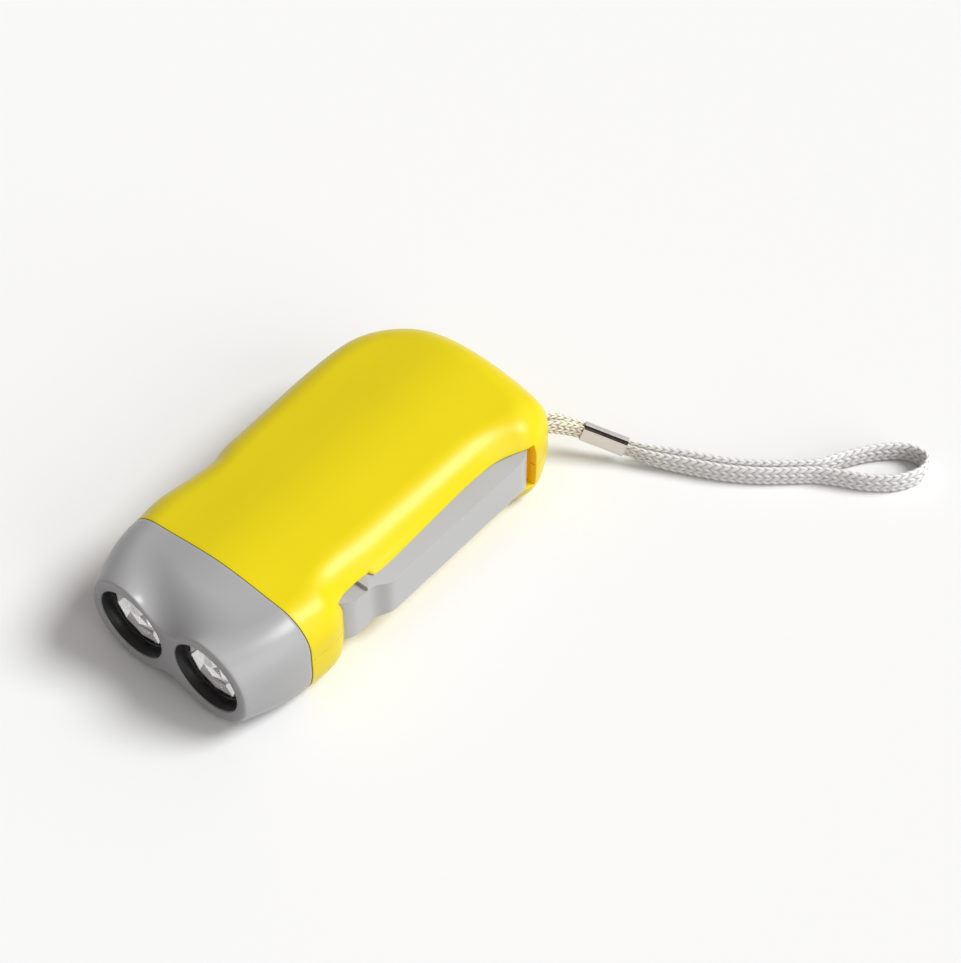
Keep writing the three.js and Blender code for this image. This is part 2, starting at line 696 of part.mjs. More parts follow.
// Lever: hub, grip arm and toothed rack in one moulding
const neckSetback = 2.9;
const shoulderLength = 6.5;
const neckY = pivotY + neckSetback;
const shoulderY = neckY + shoulderLength;
const neckShare = 0.5;
const shoulderShare = 0.45;
const endRoundX = 0.9;
const endRoundY = 3.6;
const endRoundShare = 0.4;
const bevelLead = 3.3;
const bevelFadeLength = 5.2;
const leverBottom = midZ - leverHalfHeight;
const leverTop = midZ + leverHalfHeight;
const pocketDepth = 1.2;
const pocketFront = 1.6;
const pocketBack = 2.2;
const rackFirst = -1;
const rackLast = 5;
const rackPitch = (2 * Math.PI) / rackTeeth;

function leverOutline() {
  const shape = new THREE.Shape();
  const armRoot = Math.acos((leverInnerX - pivotX) / hubRadius);
  shape.moveTo(leverInnerX, leverEndY);
  shape.absarc(pivotX, pivotY, hubRadius, armRoot, 2 * Math.PI, false);
  shape.lineTo(leverNeckX, neckY);
  shape.bezierCurveTo(leverNeckX, neckY + neckShare * shoulderLength, leverFaceX,
    shoulderY - shoulderShare * shoulderLength, leverFaceX, shoulderY);
  shape.lineTo(leverFaceX, leverEndY - endRoundY);
  shape.quadraticCurveTo(leverFaceX, leverEndY - endRoundShare * endRoundY, leverFaceX - endRoundX, leverEndY);
  shape.closePath();
  return shape;
}

// The slanted edge along the grip, which fades out towards the free end: side is 1 above and -1 below.
function gripBevel(side) {
  const edge = midZ + side * leverHalfHeight;
  const innerX = leverFaceX - leverBevelWidth;
  const outerX = leverFaceX + overrun;
  const ring = (innerY, outerY, depth) => {
    const drop = (depth * (outerX - innerX)) / leverBevelWidth;
    const points = [
      [innerX, innerY, edge],
      [outerX, outerY, edge - side * drop],
      [outerX, outerY, edge + side * overrun],
      [innerX, innerY, edge + side * overrun],
    ];
    return side > 0 ? points : points.reverse();
  };
  return closed(skin([
    ring(shoulderY - bevelLead, neckY, leverBevel),
    ring(leverEndY - bevelFadeLength, leverEndY - bevelFadeLength, leverBevel),
    ring(leverEndY + overrun, leverEndY + overrun, leastBevelShare * leverBevel),
  ]));
}

function rack() {
  const root = rackRadius - toothRootShare * coarseModule;
  const from = Math.acos((leverInnerX + gap - pivotX) / root);
  const to = driveDirection + (rackLast + 1) * rackPitch;
  const first = driveDirection + (rackFirst - 1) * rackPitch;
  const around = (radius, turn) => [pivotX + radius * Math.cos(turn), pivotY + radius * Math.sin(turn)];
  const points = [around(pinRadius + wall, from), around(root, from), around(root, (from + first) / 2),
    around(root, first)];
  for (let k = rackFirst; k <= rackLast; k++) {
    const tooth = toothPoints(coarseModule, rackRadius, driveDirection + k * rackPitch);
    points.push(...tooth.map(([x, y]) => [x + pivotX, y + pivotY]));
  }
  points.push(around(root, to), around(hubRadius - gap, to));
  return plate(outlineShape(points), rackBottom, rackTop);
}

function lever() {
  let body = plate(leverOutline(), leverBottom, leverTop).add(rack());
  body = body.subtract(gripBevel(1)).subtract(gripBevel(-1));
  const pocketFloors = [[leverTop - pocketDepth, leverTop + overrun], [leverBottom - overrun, leverBottom + pocketDepth]];
  for (const floors of pocketFloors) {
    body = body.subtract(block(pivotX + pinRadius + wall, leverFaceX, pivotY - pocketFront, pivotY + pocketBack, ...floors));
  }
  return body.subtract(bar(...pivot, 0, 2 * midZ, pinRadius + gap));
}

add('lever', lever(), plastic(paleGrey, 0.4));

add('lever_pin', bar(...pivot, axleFoot, slotTop + pinSeat, pinRadius), metal(steel));

// Return spring of the lever: turns round a post beside the hub, one leg on the pivot boss and one on the arm
const springTurns = 2.35;
const springPitch = 1.1;
const springStepCount = 20;
const springBottom = rackBottom - gap - springWireRadius - springTurns * springPitch;
function leverSpring() {
  const toBoss = Math.atan2(pivotY - springY, pivotX - springX);
  const boss = away(pivot, toBoss + Math.PI, pivotBossRadius + gap + springWireRadius);
  const points = [[...boss, springBottom]];
  for (let k = 0; k <= springStepCount; k++) {
    const share = k / springStepCount;
    const turn = toBoss - 2 * Math.PI * springTurns * share - Math.PI / 3;
    points.push([...away([springX, springY], turn, springRadius), springBottom + springPitch * springTurns * share]);
  }
  points.push([leverInnerX - gap - springWireRadius, springY + springLegRise, springBottom + springPitch * springTurns]);
  return wire(points, springWireRadius, 2 * springStepCount, 4);
}
add('lever_spring', leverSpring(), metal(steel));

// Gear train
const axleHole = axleRadius + gap;
const wheelHubRadius = 2.4;
const wheelTop = plateBottom - gap;
const pinionDrop = 0.2;

function driveGear() {
  const pinion = gear(driveAt, drivePinionTeeth, coarseModule, driveDirection + Math.PI + Math.PI / drivePinionTeeth,
    rackBottom - pinionDrop, driveWheelBottom);
  const wheel = gear(driveAt, driveWheelTeeth, middleModule, stepDirection, driveWheelBottom,
    driveWheelTop);
  const hub = bar(...driveAt, driveWheelBottom, wheelTop, wheelHubRadius);
  return pinion.add(wheel).add(hub).subtract(bar(...driveAt, 0, 2 * midZ, axleHole));
}

function stepGear() {
  const pinion = gear(stepAt, stepPinionTeeth, middleModule, stepDirection + Math.PI + Math.PI / stepPinionTeeth,
    driveWheelBottom - pinionDrop, stepWheelBottom);
  const wheel = gear(stepAt, stepWheelTeeth, fineModule, rotorDirection, stepWheelBottom,
    stepWheelTop);
  const hub = bar(...stepAt, stepWheelBottom, wheelTop, wheelHubRadius);
  return pinion.add(wheel).add(hub).subtract(bar(...stepAt, 0, 2 * midZ, axleHole));
}

const magnetBottom = statorBottom + clawThickness + 2 * gap;
const rotorFlangeRadius = magnetRadius - 2 * clawThickness;
const rotorFlangeThickness = 1;
function rotorHub() {
  const core = bar(...rotorAt, magnetBottom, stepWheelBottom, wheelHubRadius);
  const flange = bar(...rotorAt, magnetTop + gap, magnetTop + gap + rotorFlangeThickness, rotorFlangeRadius);
  const pinion = gear(rotorAt, rotorPinionTeeth, fineModule,
    rotorDirection + Math.PI + Math.PI / rotorPinionTeeth, stepWheelBottom - pinionDrop, wheelTop - gap);
  return core.add(flange).add(pinion).subtract(bar(...rotorAt, 0, 2 * midZ, axleHole));
}

const axleTop = plateBottom + plateThickness;
add('drive_gear', driveGear(), plastic(white));
add('drive_axle', bar(...driveAt, axleFoot, axleTop, axleRadius), metal(steel));
add('step_gear', stepGear(), plastic(white));
add('step_axle', bar(...stepAt, axleFoot, axleTop, axleRadius), metal(steel));
add('rotor_hub', rotorHub(), plastic(white));
add('rotor_shaft', bar(...rotorAt, statorSeatTop - wall + gap, axleTop, axleRadius), metal(steel));
add('rotor_magnet', tube(...rotorAt, magnetBottom, magnetTop, magnetRadius, wheelHubRadius + gap, boreSides),
  metal(0x55565a, 0.4));

// Dynamo: two steel claw rings hold a wound bobbin round the magnet
const airGap = 0.5;
const clawHalfShare = 0.26;
const clawRadius = magnetRadius + airGap;
const clawHalfWidth = clawHalfShare * clawRadius;
const clawCount = 4;
const bobbinInner = Math.hypot(clawRadius + clawThickness, clawHalfWidth) + gap;
const bobbinWall = 0.5;
const bobbinOuter = statorRadius - gap;
const bobbinBottom = statorBottom + clawThickness + gap;
const bobbinTop = statorTop - clawThickness - gap;

function clawRing(ringBottom, clawBottom, clawTop, turn) {
  let ring = tube(...rotorAt, ringBottom, ringBottom + clawThickness, statorRadius, clawRadius, boreSides);
  for (let k = 0; k < clawCount; k++) {
    const claw = new THREE.BoxGeometry(clawThickness, 2 * clawHalfWidth, clawTop - clawBottom);
    claw.translate(clawRadius + clawThickness / 2, 0, (clawTop + clawBottom) / 2);
    claw.rotateZ(turn + (2 * Math.PI * k) / clawCount);
    claw.translate(...rotorAt, 0);
    ring = ring.add(closed(claw));
  }
  return ring.subtract(bar(...rotorAt, 0, 2 * midZ, clawRadius, boreSides));
}

// A body turned about an upright axis: points are [radius, z].
function turnedUp(points, [x, y], sides) {
  const ring = [...points, points[0]].map(([r, z]) => new THREE.Vector2(r, z));
  const geometry = new THREE.LatheGeometry(ring, sides);
  geometry.rotateX(Math.PI / 2);
  geometry.translate(x, y, 0);
  return closed(geometry);
}

add('stator_lower', clawRing(statorBottom, statorBottom, bobbinTop, 0), metal(steel, 0.4));
add('stator_upper', clawRing(statorTop - clawThickness, bobbinBottom, statorTop, Math.PI / clawCount), metal(steel, 0.4));
add('bobbin', turnedUp([
  [bobbinInner, bobbinBottom], [bobbinOuter, bobbinBottom], [bobbinOuter, bobbinBottom + bobbinWall],
  [bobbinInner + bobbinWall, bobbinBottom + bobbinWall], [bobbinInner + bobbinWall, bobbinTop - bobbinWall],
  [bobbinOuter, bobbinTop - bobbinWall], [bobbinOuter, bobbinTop], [bobbinInner, bobbinTop],
], rotorAt, boreSides), plastic(white));
add('coil', tube(...rotorAt, bobbinBottom + bobbinWall + gap, bobbinTop - bobbinWall - gap, bobbinOuter - gap,
  bobbinInner + bobbinWall + gap, boreSides), metal(copper, 0.4));

// Gear plate: a rounded outline round its posts and axles
const plateMargin = 3.4;
function gearPlate() {
  const centres = [postPlaces[0], driveAt, postPlaces[1], rotorAt, postPlaces[2]];
  const shape = new THREE.Shape();
  centres.forEach(([x, y], i) => {
    const [px, py] = centres[(i + centres.length - 1) % centres.length];
    const [qx, qy] = centres[(i + 1) % centres.length];
    const start = Math.atan2(y - py, x - px) - Math.PI / 2;
    const end = Math.atan2(qy - y, qx - x) - Math.PI / 2;
    shape.absarc(x, y, plateMargin, start, end, false);
  });
  shape.closePath();
  let sheet = plate(shape, plateBottom, plateBottom + plateThickness);
  for (const place of [driveAt, stepAt, rotorAt]) {
    sheet = sheet.subtract(bar(...place, 0, 2 * midZ, axleHole));
  }
  for (const place of postPlaces) sheet = sheet.subtract(bar(...place, 0, 2 * midZ, plateScrewRadius + gap));
  return sheet;
}
add('gear_plate', gearPlate(), plastic(white));

// Screws: a round head with a cross slot and a plain shank. up is 1 where the shank points up.
const crossHalfWidth = 0.3;
const crossDepthShare = 0.6;
function screw([x, y], headFace, up, headRadius, headHeight, radius, length) {
  const under = headFace + up * headHeight;
  const span = (p, q) => [Math.min(p, q), Math.max(p, q)];
  const head = bar(x, y, ...span(headFace, under), headRadius);
  const shank = bar(x, y, ...span(headFace + (up * headHeight) / 2, under + up * length), radius, shankSides);
  const reach = headRadius * crossDepthShare;
  const slotDepthHere = span(headFace - up * overrun, headFace + up * headHeight * crossDepthShare);
  const cross = block(x - reach, x + reach, y - crossHalfWidth, y + crossHalfWidth, ...slotDepthHere)
    .add(block(x - crossHalfWidth, x + crossHalfWidth, y - reach, y + reach, ...slotDepthHere));
  return head.add(shank).subtract(cross);
}

postPlaces.forEach((place, i) => {
  const headFace = plateBottom + plateThickness + gap + plateScrewHeadHeight;
  add(`plate_screw_${i + 1}`, screw(place, headFace, -1, plateScrewHeadRadius, plateScrewHeadHeight,
    plateScrewRadius, plateScrewLength), metal(steel));
});
screwPlaces.forEach((place, i) => {
  add(`case_screw_${i + 1}`, screw(place, screwHeadBottom, 1, screwHeadRadius, screwHeadHeight, screwRadius,
    screwLength), metal(steel));
});

// Three button cells between two contacts
const contactRadius = 4.6;
const contactTabHalfWidth = 1.5;
const contactTabLength = 2.4;
const contactTabX = cellX + contactTabHalfWidth + 2 * gap;
for (let k = 0; k < cellCount; k++) {
  const bottom = cellBottom + k * (cellHeight + gap);
  add(`cell_${k + 1}`, bar(cellX, cellY, bottom, bottom + cellHeight, cellRadius, boreSides), metal(steel));
}
const upperContactBottom = cellBottom + cellCount * (cellHeight + gap);
add('contact_lower', bar(cellX, cellY, cellBottom - gap - contactThickness, cellBottom - gap, contactRadius), metal(steel));
add('contact_upper', bar(cellX, cellY, upperContactBottom, upperContactBottom + contactThickness, contactRadius)
  .add(block(contactTabX - contactTabHalfWidth, contactTabX + contactTabHalfWidth,
    cellY - cellRadius - contactTabLength, cellY,
    upperContactBottom, upperContactBottom + contactThickness)), metal(steel));

// Slide switch behind the palm side, and its knob in the thumb recess
const knobFlangeHalfLength = 6.8;
const knobFlangeHalfHeight = 2.7;
const switchHalfLength = 6;
const knobRibWidth = 0.7;
const knobRibDepth = 0.4;
const knobRibShares = [-0.5, 0, 0.5];
function switchKnob() {
  const middle = switchY + switchTravel / 2;
  const inner = knobFlangeX + knobFlangeThickness;
  let knob = block(knobOuterX, inner, middle - knobHalfLength, middle + knobHalfLength, midZ - knobHalfHeight,
    midZ + knobHalfHeight);
  knob = knob.add(block(knobFlangeX, inner, middle - knobFlangeHalfLength, middle + knobFlangeHalfLength,
    midZ - knobFlangeHalfHeight, midZ + knobFlangeHalfHeight));
  for (const share of knobRibShares) {
    const y = middle + share * knobHalfLength;
    knob = knob.subtract(block(knobOuterX - overrun, knobOuterX + knobRibDepth, y - knobRibWidth / 2,
      y + knobRibWidth / 2, 0, 2 * midZ));
  }
  return knob;
}
add('switch_knob', switchKnob(), plastic(black));
add('switch_body', block(switchFaceX, switchFaceX + switchBodyWidth, switchY - switchHalfLength,
  switchY + switchHalfLength, midZ - switchHalfHeight, midZ + switchHalfHeight), metal(steel, 0.4));

// Inner wires
const wireRadius = 0.5;
const boardBack = boardFront + boardThickness + 2 * gap;
const leadSlack = 3;
const leadFloor = wall + 2 * wireRadius;
const leadBend = boardBack + leadSlack;
const cellLeadY = cellY - cellRadius - contactTabLength - gap;
const switchLeadX = switchFaceX + switchBodyWidth / 2;
const leads = {
  wire_red: [
    [-lampX / 2, boardBack, midZ + leadSlack],
    [contactTabX, leadBend, upperContactBottom - leadSlack / 2],
    [contactTabX, cellLeadY, upperContactBottom + contactThickness / 2],
  ],
  wire_black: [
    [-lampX, boardBack, midZ - leadSlack],
    [frontScrewLeftX - screwBossRadius - wireRadius - gap, leadBend, midZ - 2 * leadSlack],
    [switchLeadX, (leadBend + switchY - switchHalfLength) / 2, midZ - leadSlack],
    [switchLeadX, switchY - switchHalfLength - gap, midZ - 2 * wireRadius],
  ],
  wire_coil: [
    [lampX / 2, boardBack, midZ - leadSlack],
    [frontScrewRightX - screwBossRadius - leadSlack / 2, leadBend, leadFloor + leadSlack / 2],
    [frontScrewRightX - screwBossRadius - leadSlack / 2, frontScrewY + screwBossRadius, leadFloor],
    [cellX + cellRadius + 2 * leadSlack, cellY + cellRadius, leadFloor],
    [rotorAt[0] - statorRadius / 3, driveAt[1] - leadSlack, leadFloor],
    [rotorAt[0] - statorRadius / 3, rotorAt[1] - statorRadius - leadSlack, leadFloor],
    [rotorAt[0], rotorAt[1] - statorRadius - gap, (statorBottom + statorTop) / 2],
  ],
};
for (const [name, points] of Object.entries(leads)) {
  add(name, wire(points, wireRadius, 3 * points.length, 5), plastic(name === 'wire_black' ? black : 0xb02a22));
}

// Wrist strap: one flat braid that goes round its post, through the clip, round its loop and back.
add('strap_post', bar(strapPostX, strapPostY, 2 * axleFoot, midZ + outletHalfHeight + wall, strapPostRadius), metal(steel));

const strapRoute = [
  [17.5, 93.49, 13.3], [16.53, 94.65, 13.3], [16.53, 96.15, 13.3], [19.66, 101.35, 13.3],
  [20.83, 104.98, 11.6], [25.18, 109.8, 7.8], [30.02, 112.19, 6.3], [34.7, 114.38, 4.8],
  [40.72, 118.1, 3.3], [47.8, 121.8, 2.9], [54.75, 125.15, 2.85], [61.75, 129.78, 2.85],
  [67.13, 134.21, 2.85], [71.9, 138.9, 2.85], [75.2, 144.7, 2.85], [80.2, 151.7, 2.85],
  [85.6, 155.9, 2.85], [90, 155.9, 2.85], [91.2, 152.4, 2.85], [88.8, 146.9, 2.85],
  [83.6, 142.3, 2.85], [77.2, 138.9, 2.85], [72.6, 136.2, 2.85], [68.47, 132.59, 2.85],
  [63.05, 128.02, 2.85], [55.85, 123.25, 2.85], [48.82, 119.8, 2.9], [41.68, 116.3, 3.3],
  [35.3, 113.22, 4.8], [30.58, 111.01, 6.3], [26.02, 108.8, 7.8], [22.66, 103.8, 11.6],
  [21.64, 100.65, 13.3], [20.67, 94.65, 13.3], [19.7, 93.49, 13.3], [18.22, 93.23, 13.3],
];

// The clip lies along the first stretch of the strap, which is pinched in it and spreads beyond it.
const clipLeft = [25.6, 109.3, 7.8];
const clipRight = [35, 113.8, 4.8];
const tapeFullX = 49;

// One upright section of a flat band that runs along a heading: corners are [across, up].
function bandSection(place, heading, corners) {
  const across = new THREE.Vector3(heading.y, -heading.x, 0).normalize();
  const up = across.clone().cross(heading).normalize();
  return corners.map(([u, v]) => place.clone().addScaledVector(across, u).addScaledVector(up, v).toArray());
}

function strap() {
  const path = new THREE.CatmullRomCurve3(strapRoute.map((p) => new THREE.Vector3(...p)), false, 'centripetal');
  const steps = 2 * (strapRoute.length - 1);
  const rings = [];
  for (let k = 0; k <= steps; k++) {
    const place = path.getPoint(k / steps);
    const spread = THREE.MathUtils.smoothstep(place.x, clipRight[0], tapeFullX);
    const [u, v] = [tapeThickness / 2, THREE.MathUtils.lerp(tapeNarrow, tapeWidth, spread) / 2];
    rings.push(bandSection(place, path.getTangent(k / steps), [
      [u - tapeCorner, -v], [u, tapeCorner - v], [u, v - tapeCorner], [u - tapeCorner, v],
      [tapeCorner - u, v], [-u, v - tapeCorner], [-u, tapeCorner - v], [tapeCorner - u, -v],
    ]));
  }
  return closed(skin(rings));
}
add('strap', strap(), plastic(0xc9c8c4, 0.6));

const clipHalfThickness = 1.7;
const clipHalfHeight = 2.4;
const clipWall = 0.3;
function strapClip() {
  const [from, to] = [new THREE.Vector3(...clipLeft), new THREE.Vector3(...clipRight)];
  const heading = to.clone().sub(from).normalize();
  const sleeve = (cut, extra) => {
    const [u, v] = [clipHalfThickness - cut, clipHalfHeight - cut];
    const corners = [[u, -v], [u, v], [-u, v], [-u, -v]];
    const ends = [from.clone().addScaledVector(heading, -extra), to.clone().addScaledVector(heading, extra)];
    return closed(skin(ends.map((end) => bandSection(end, heading, corners))));
  };
  return sleeve(0, 0).subtract(sleeve(clipWall, overrun));
}
add('strap_clip', strapClip(), metal(0xdad5d1));

export default torch;
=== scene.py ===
"""Looks of the hand press dynamo torch. Lengths are in millimetres and become metres in the meshes."""
import math
import bmesh
import bpy
import numpy as np
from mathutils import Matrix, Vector
from mathutils.geometry import tessellate_polygon


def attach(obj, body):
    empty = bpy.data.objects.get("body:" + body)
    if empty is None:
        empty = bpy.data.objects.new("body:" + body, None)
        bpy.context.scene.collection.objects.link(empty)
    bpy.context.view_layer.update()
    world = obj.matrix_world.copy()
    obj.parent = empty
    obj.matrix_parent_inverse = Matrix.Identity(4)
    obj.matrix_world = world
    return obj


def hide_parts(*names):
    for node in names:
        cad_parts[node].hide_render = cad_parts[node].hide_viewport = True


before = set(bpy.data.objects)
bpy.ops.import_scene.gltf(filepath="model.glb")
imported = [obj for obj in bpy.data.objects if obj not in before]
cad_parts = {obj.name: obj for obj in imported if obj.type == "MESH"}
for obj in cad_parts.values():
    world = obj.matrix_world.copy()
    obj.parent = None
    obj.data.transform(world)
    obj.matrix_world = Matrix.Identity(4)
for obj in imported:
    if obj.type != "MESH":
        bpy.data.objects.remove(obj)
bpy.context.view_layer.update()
scene = bpy.context.scene
MM = 0.001

# Sizes as in the part's source. A side is 1 for the upper shell and -1 for the lower one.
LENGTH, HALF_WIDTH, HALF_HEIGHT = 103.4, 28.0, 13.6
HALF = LENGTH / 2
MID = 13.3  # height of the parting line
WALL = 1.8
BAND = 2.9  # the upright part of the wall on either side of the parting line
RADIUS = {1: 8.6, -1: 4.8}
DROP = {1: 1.9, -1: 1.1}
SEAM_Y = 17.5  # where the head meets the case
PIVOT = (18.8, 33.2)
HUB_RADIUS = 5.6
LEVER_HALF = 6.25
LAMP_X = 10.95
EYE, AIM, FOCAL_LENGTH = (244.3, -242.9, 419.5), (13.316, 35.567, 0.3), 89.72


# ---------------------------------------------------------------- camera
def add_camera():
    data = bpy.data.cameras.new("camera")
    data.lens = FOCAL_LENGTH
    data.sensor_width = 36
    data.sensor_fit = "AUTO"
    data.clip_start = 0.01
    data.clip_end = 20
    camera = bpy.data.objects.new("camera", data)
    scene.collection.objects.link(camera)
    eye = Vector(EYE) * MM
    camera.location = eye
    camera.rotation_euler = (Vector(AIM) * MM - eye).to_track_quat("-Z", "Y").to_euler()
    scene.camera = camera


add_camera()


# ---------------------------------------------------------------- curves
def catmull(points, per_segment):
    """Centripetal Catmull-Rom curve through points, as three.js draws it."""
    p = [np.array(q, float) for q in points]
    p = [2 * p[0] - p[1]] + p + [2 * p[-1] - p[-2]]
    out = []
    for i in range(1, len(p) - 2):
        a, b, c, d = p[i - 1:i + 3]
        d0, d1, d2 = (max(np.linalg.norm(v), 1e-6) ** 0.5 for v in (b - a, c - b, d - c))
        t1 = ((b - a) / d0 - (c - a) / (d0 + d1) + (c - b) / d1) * d1
        t2 = ((c - b) / d1 - (d - b) / (d1 + d2) + (d - c) / d2) * d1
        for k in range(per_segment):
            t = k / per_segment
            out.append(b + t1 * t + (3 * (c - b) - 2 * t1 - t2) * t ** 2 + (2 * (b - c) + t1 + t2) * t ** 3)
    out.append(p[-2])
    return np.array(out)


def by_length(curve, count):
    """The same curve as count + 1 points at even distances."""
    run = np.concatenate([[0], np.cumsum(np.linalg.norm(np.diff(curve, axis=0), axis=1))])
    at = np.linspace(0, run[-1], count + 1)
    return np.stack([np.interp(at, run, curve[:, k]) for k in range(curve.shape[1])], axis=1), run[-1]


# ---------------------------------------------------------------- meshes
def to_object(name, vertices, faces, body, smooth=35):
    mesh = bpy.data.meshes.new(name)
    placed = [(x * MM, (y - HALF) * MM, z * MM) for x, y, z in vertices]
    mesh.from_pydata(placed, [], faces)
    mesh.validate()
    finish_mesh(mesh, smooth)
    piece = bpy.data.objects.new(name, mesh)
    scene.collection.objects.link(piece)
    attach(piece, body)
    return piece


def finish_mesh(mesh, smooth):
    work = bmesh.new()
    work.from_mesh(mesh)
    bmesh.ops.remove_doubles(work, verts=work.verts, dist=1e-7)
    bmesh.ops.recalc_face_normals(work, faces=work.faces)
    work.to_mesh(mesh)
    work.free()
    mesh.polygons.foreach_set("use_smooth", [True] * len(mesh.polygons))
    mesh.set_sharp_from_angle(angle=math.radians(smooth))
    mesh.update()


def apply_modifiers(piece, smooth=35):
    bpy.context.view_layer.update()
    graph = bpy.context.evaluated_depsgraph_get()
    mesh = bpy.data.meshes.new_from_object(piece.evaluated_get(graph))
    old = piece.data
    piece.modifiers.clear()
    piece.data = mesh
    mesh.name = piece.name
    bpy.data.meshes.remove(old)
    finish_mesh(mesh, smooth)


def cut(piece, cutters):
    """Boolean with plain closed bodies, which go away afterwards."""
    for vertices, faces in cutters:
        tool = to_object("tool", vertices, faces, "case")
        change = piece.modifiers.new("cut", "BOOLEAN")
        change.operation = "DIFFERENCE"
        change.solver = "EXACT"
        change.object = tool
        apply_modifiers(piece)
        mesh = tool.data
        bpy.data.objects.remove(tool)
        bpy.data.meshes.remove(mesh)


def bevel(piece, width, segments=3, angle=35, smooth=50, miter="MITER_ARC"):
    change = piece.modifiers.new("bevel", "BEVEL")
    change.width = width * MM
    change.segments = segments
    change.limit_method = "ANGLE"
    change.angle_limit = math.radians(angle)
    change.miter_outer = miter
    apply_modifiers(piece, smooth)


def rings_to_faces(count, n, close_row=True, cap_start=True, cap_end=True):
    faces = []
    last = n if close_row else n - 1
    for k in range(count - 1):
        for i in range(last):
            j = (i + 1) % n
            faces.append((k * n + i, k * n + j, (k + 1) * n + j, (k + 1) * n + i))
    if cap_start:
        faces.append(tuple(range(n))[::-1])
    if cap_end:
        faces.append(tuple(range((count - 1) * n, count * n)))
    return faces


def loft(rings, **options):
    n = len(rings[0])
    return [tuple(p) for ring in rings for p in ring], rings_to_faces(len(rings), n, **options)


def prism(outline, z0, z1):
    return loft([[(x, y, z0) for x, y in outline], [(x, y, z1) for x, y in outline]])


def box(x0, x1, y0, y1, z0, z1):
    return prism([(x0, y0), (x1, y0), (x1, y1), (x0, y1)], z0, z1)


def disc(x, y, z0, z1, radius, sides=48):
    turns = [2 * math.pi * k / sides for k in range(sides)]
    return prism([(x + radius * math.cos(t), y + radius * math.sin(t)) for t in turns], z0, z1)


def turned_faces(sides, n):
    """Faces of a closed profile of n points that goes once round in so many sides."""
    faces = []
    for k in range(sides):
        for i in range(n):
            j = (i + 1) % n
            m = (k + 1) % sides
            faces.append((k * n + i, k * n + j, m * n + j, m * n + i))
    return faces


def turned(profile, x, z, sides=96):
    """A closed profile of [radius, y] turned about an axis along Y."""
    vertices = []
    for k in range(sides):
        turn = 2 * math.pi * k / sides
        vertices += [(x + r * math.cos(turn), y, z + r * math.sin(turn)) for r, y in profile]
    return vertices, turned_faces(sides, len(profile))


# ---------------------------------------------------------------- node materials
def material(name):
    made = bpy.data.materials.new(name)
    made.use_nodes = True
    nodes, links = made.node_tree.nodes, made.node_tree.links
    return made, nodes, links, nodes["Principled BSDF"]


def linear(rgb):
    """A written colour of 0 to 255 as linear light."""
    shares = [c / 255 for c in rgb]
    return tuple(c / 12.92 if c <= 0.04045 else ((c + 0.055) / 1.055) ** 2.4 for c in shares) + (1,)


def ramp(nodes, stops):
    node = nodes.new("ShaderNodeValToRGB")
    while len(node.color_ramp.elements) < len(stops):
        node.color_ramp.elements.new(0.5)
    for element, (at, value) in zip(node.color_ramp.elements, stops):
        element.position = at
        element.color = value if len(value) == 4 else (*value, 1)
    return node


def moulded(name, rgb, rough=0.42, spread=0.05, tint=0.04, grain=0.12, grain_scale=1500, ior=1.46):
    """Moulded plastic: fine grain, soft flow marks in the gloss and slight unevenness of colour."""
    made, nodes, links, shader = material(name)
    place = nodes.new("ShaderNodeTexCoord")
    broad = nodes.new("ShaderNodeTexNoise")
    broad.inputs["Scale"].default_value = 38
    broad.inputs["Detail"].default_value = 3
    fine = nodes.new("ShaderNodeTexNoise")
    fine.inputs["Scale"].default_value = grain_scale
    fine.inputs["Detail"].default_value = 2
    base = linear(rgb)
    dark = tuple(c * (1 - tint) for c in base[:3])
    light = tuple(min(c * (1 + tint), 1) for c in base[:3])
    colours = ramp(nodes, [(0.1, dark), (0.9, light)])
    gloss = ramp(nodes, [(0.1, (rough - spread,) * 3), (0.9, (rough + spread,) * 3)])
    bump = nodes.new("ShaderNodeBump")
    bump.inputs["Strength"].default_value = grain
    bump.inputs["Distance"].default_value = 0.00004
    links.new(place.outputs["Object"], broad.inputs["Vector"])
    links.new(place.outputs["Object"], fine.inputs["Vector"])
    links.new(broad.outputs["Fac"], colours.inputs["Fac"])
    links.new(broad.outputs["Fac"], gloss.inputs["Fac"])
    links.new(fine.outputs["Fac"], bump.inputs["Height"])
    links.new(colours.outputs["Color"], shader.inputs["Base Color"])
    links.new(gloss.outputs["Color"], shader.inputs["Roughness"])
    links.new(bump.outputs["Normal"], shader.inputs["Normal"])
    shader.inputs["IOR"].default_value = ior
    return made


def metallic(name, rgb, rough=0.3, spread=0.06, scale=(60, 60, 60), grain=0.1):
    """Bare or plated metal with drawn or tumbled marks in its gloss."""
    made, nodes, links, shader = material(name)
    place = nodes.new("ShaderNodeTexCoord")
    stretch = nodes.new("ShaderNodeMapping")
    stretch.inputs["Scale"].default_value = scale
    marks = nodes.new("ShaderNodeTexNoise")
    marks.inputs["Scale"].default_value = 12
    marks.inputs["Detail"].default_value = 5
    base = linear(rgb)
    colours = ramp(nodes, [(0.3, tuple(c * 0.93 for c in base[:3])), (0.7, base)])
    gloss = ramp(nodes, [(0.3, (rough - spread,) * 3), (0.7, (rough + spread,) * 3)])
    bump = nodes.new("ShaderNodeBump")
    bump.inputs["Strength"].default_value = grain
    bump.inputs["Distance"].default_value = 0.00003
    links.new(place.outputs["Object"], stretch.inputs["Vector"])
    links.new(stretch.outputs["Vector"], marks.inputs["Vector"])
    links.new(marks.outputs["Fac"], colours.inputs["Fac"])
    links.new(marks.outputs["Fac"], gloss.inputs["Fac"])
    links.new(marks.outputs["Fac"], bump.inputs["Height"])
    links.new(colours.outputs["Color"], shader.inputs["Base Color"])
    links.new(gloss.outputs["Color"], shader.inputs["Roughness"])
    links.new(bump.outputs["Normal"], shader.inputs["Normal"])
    shader.inputs["Metallic"].default_value = 1
    return made


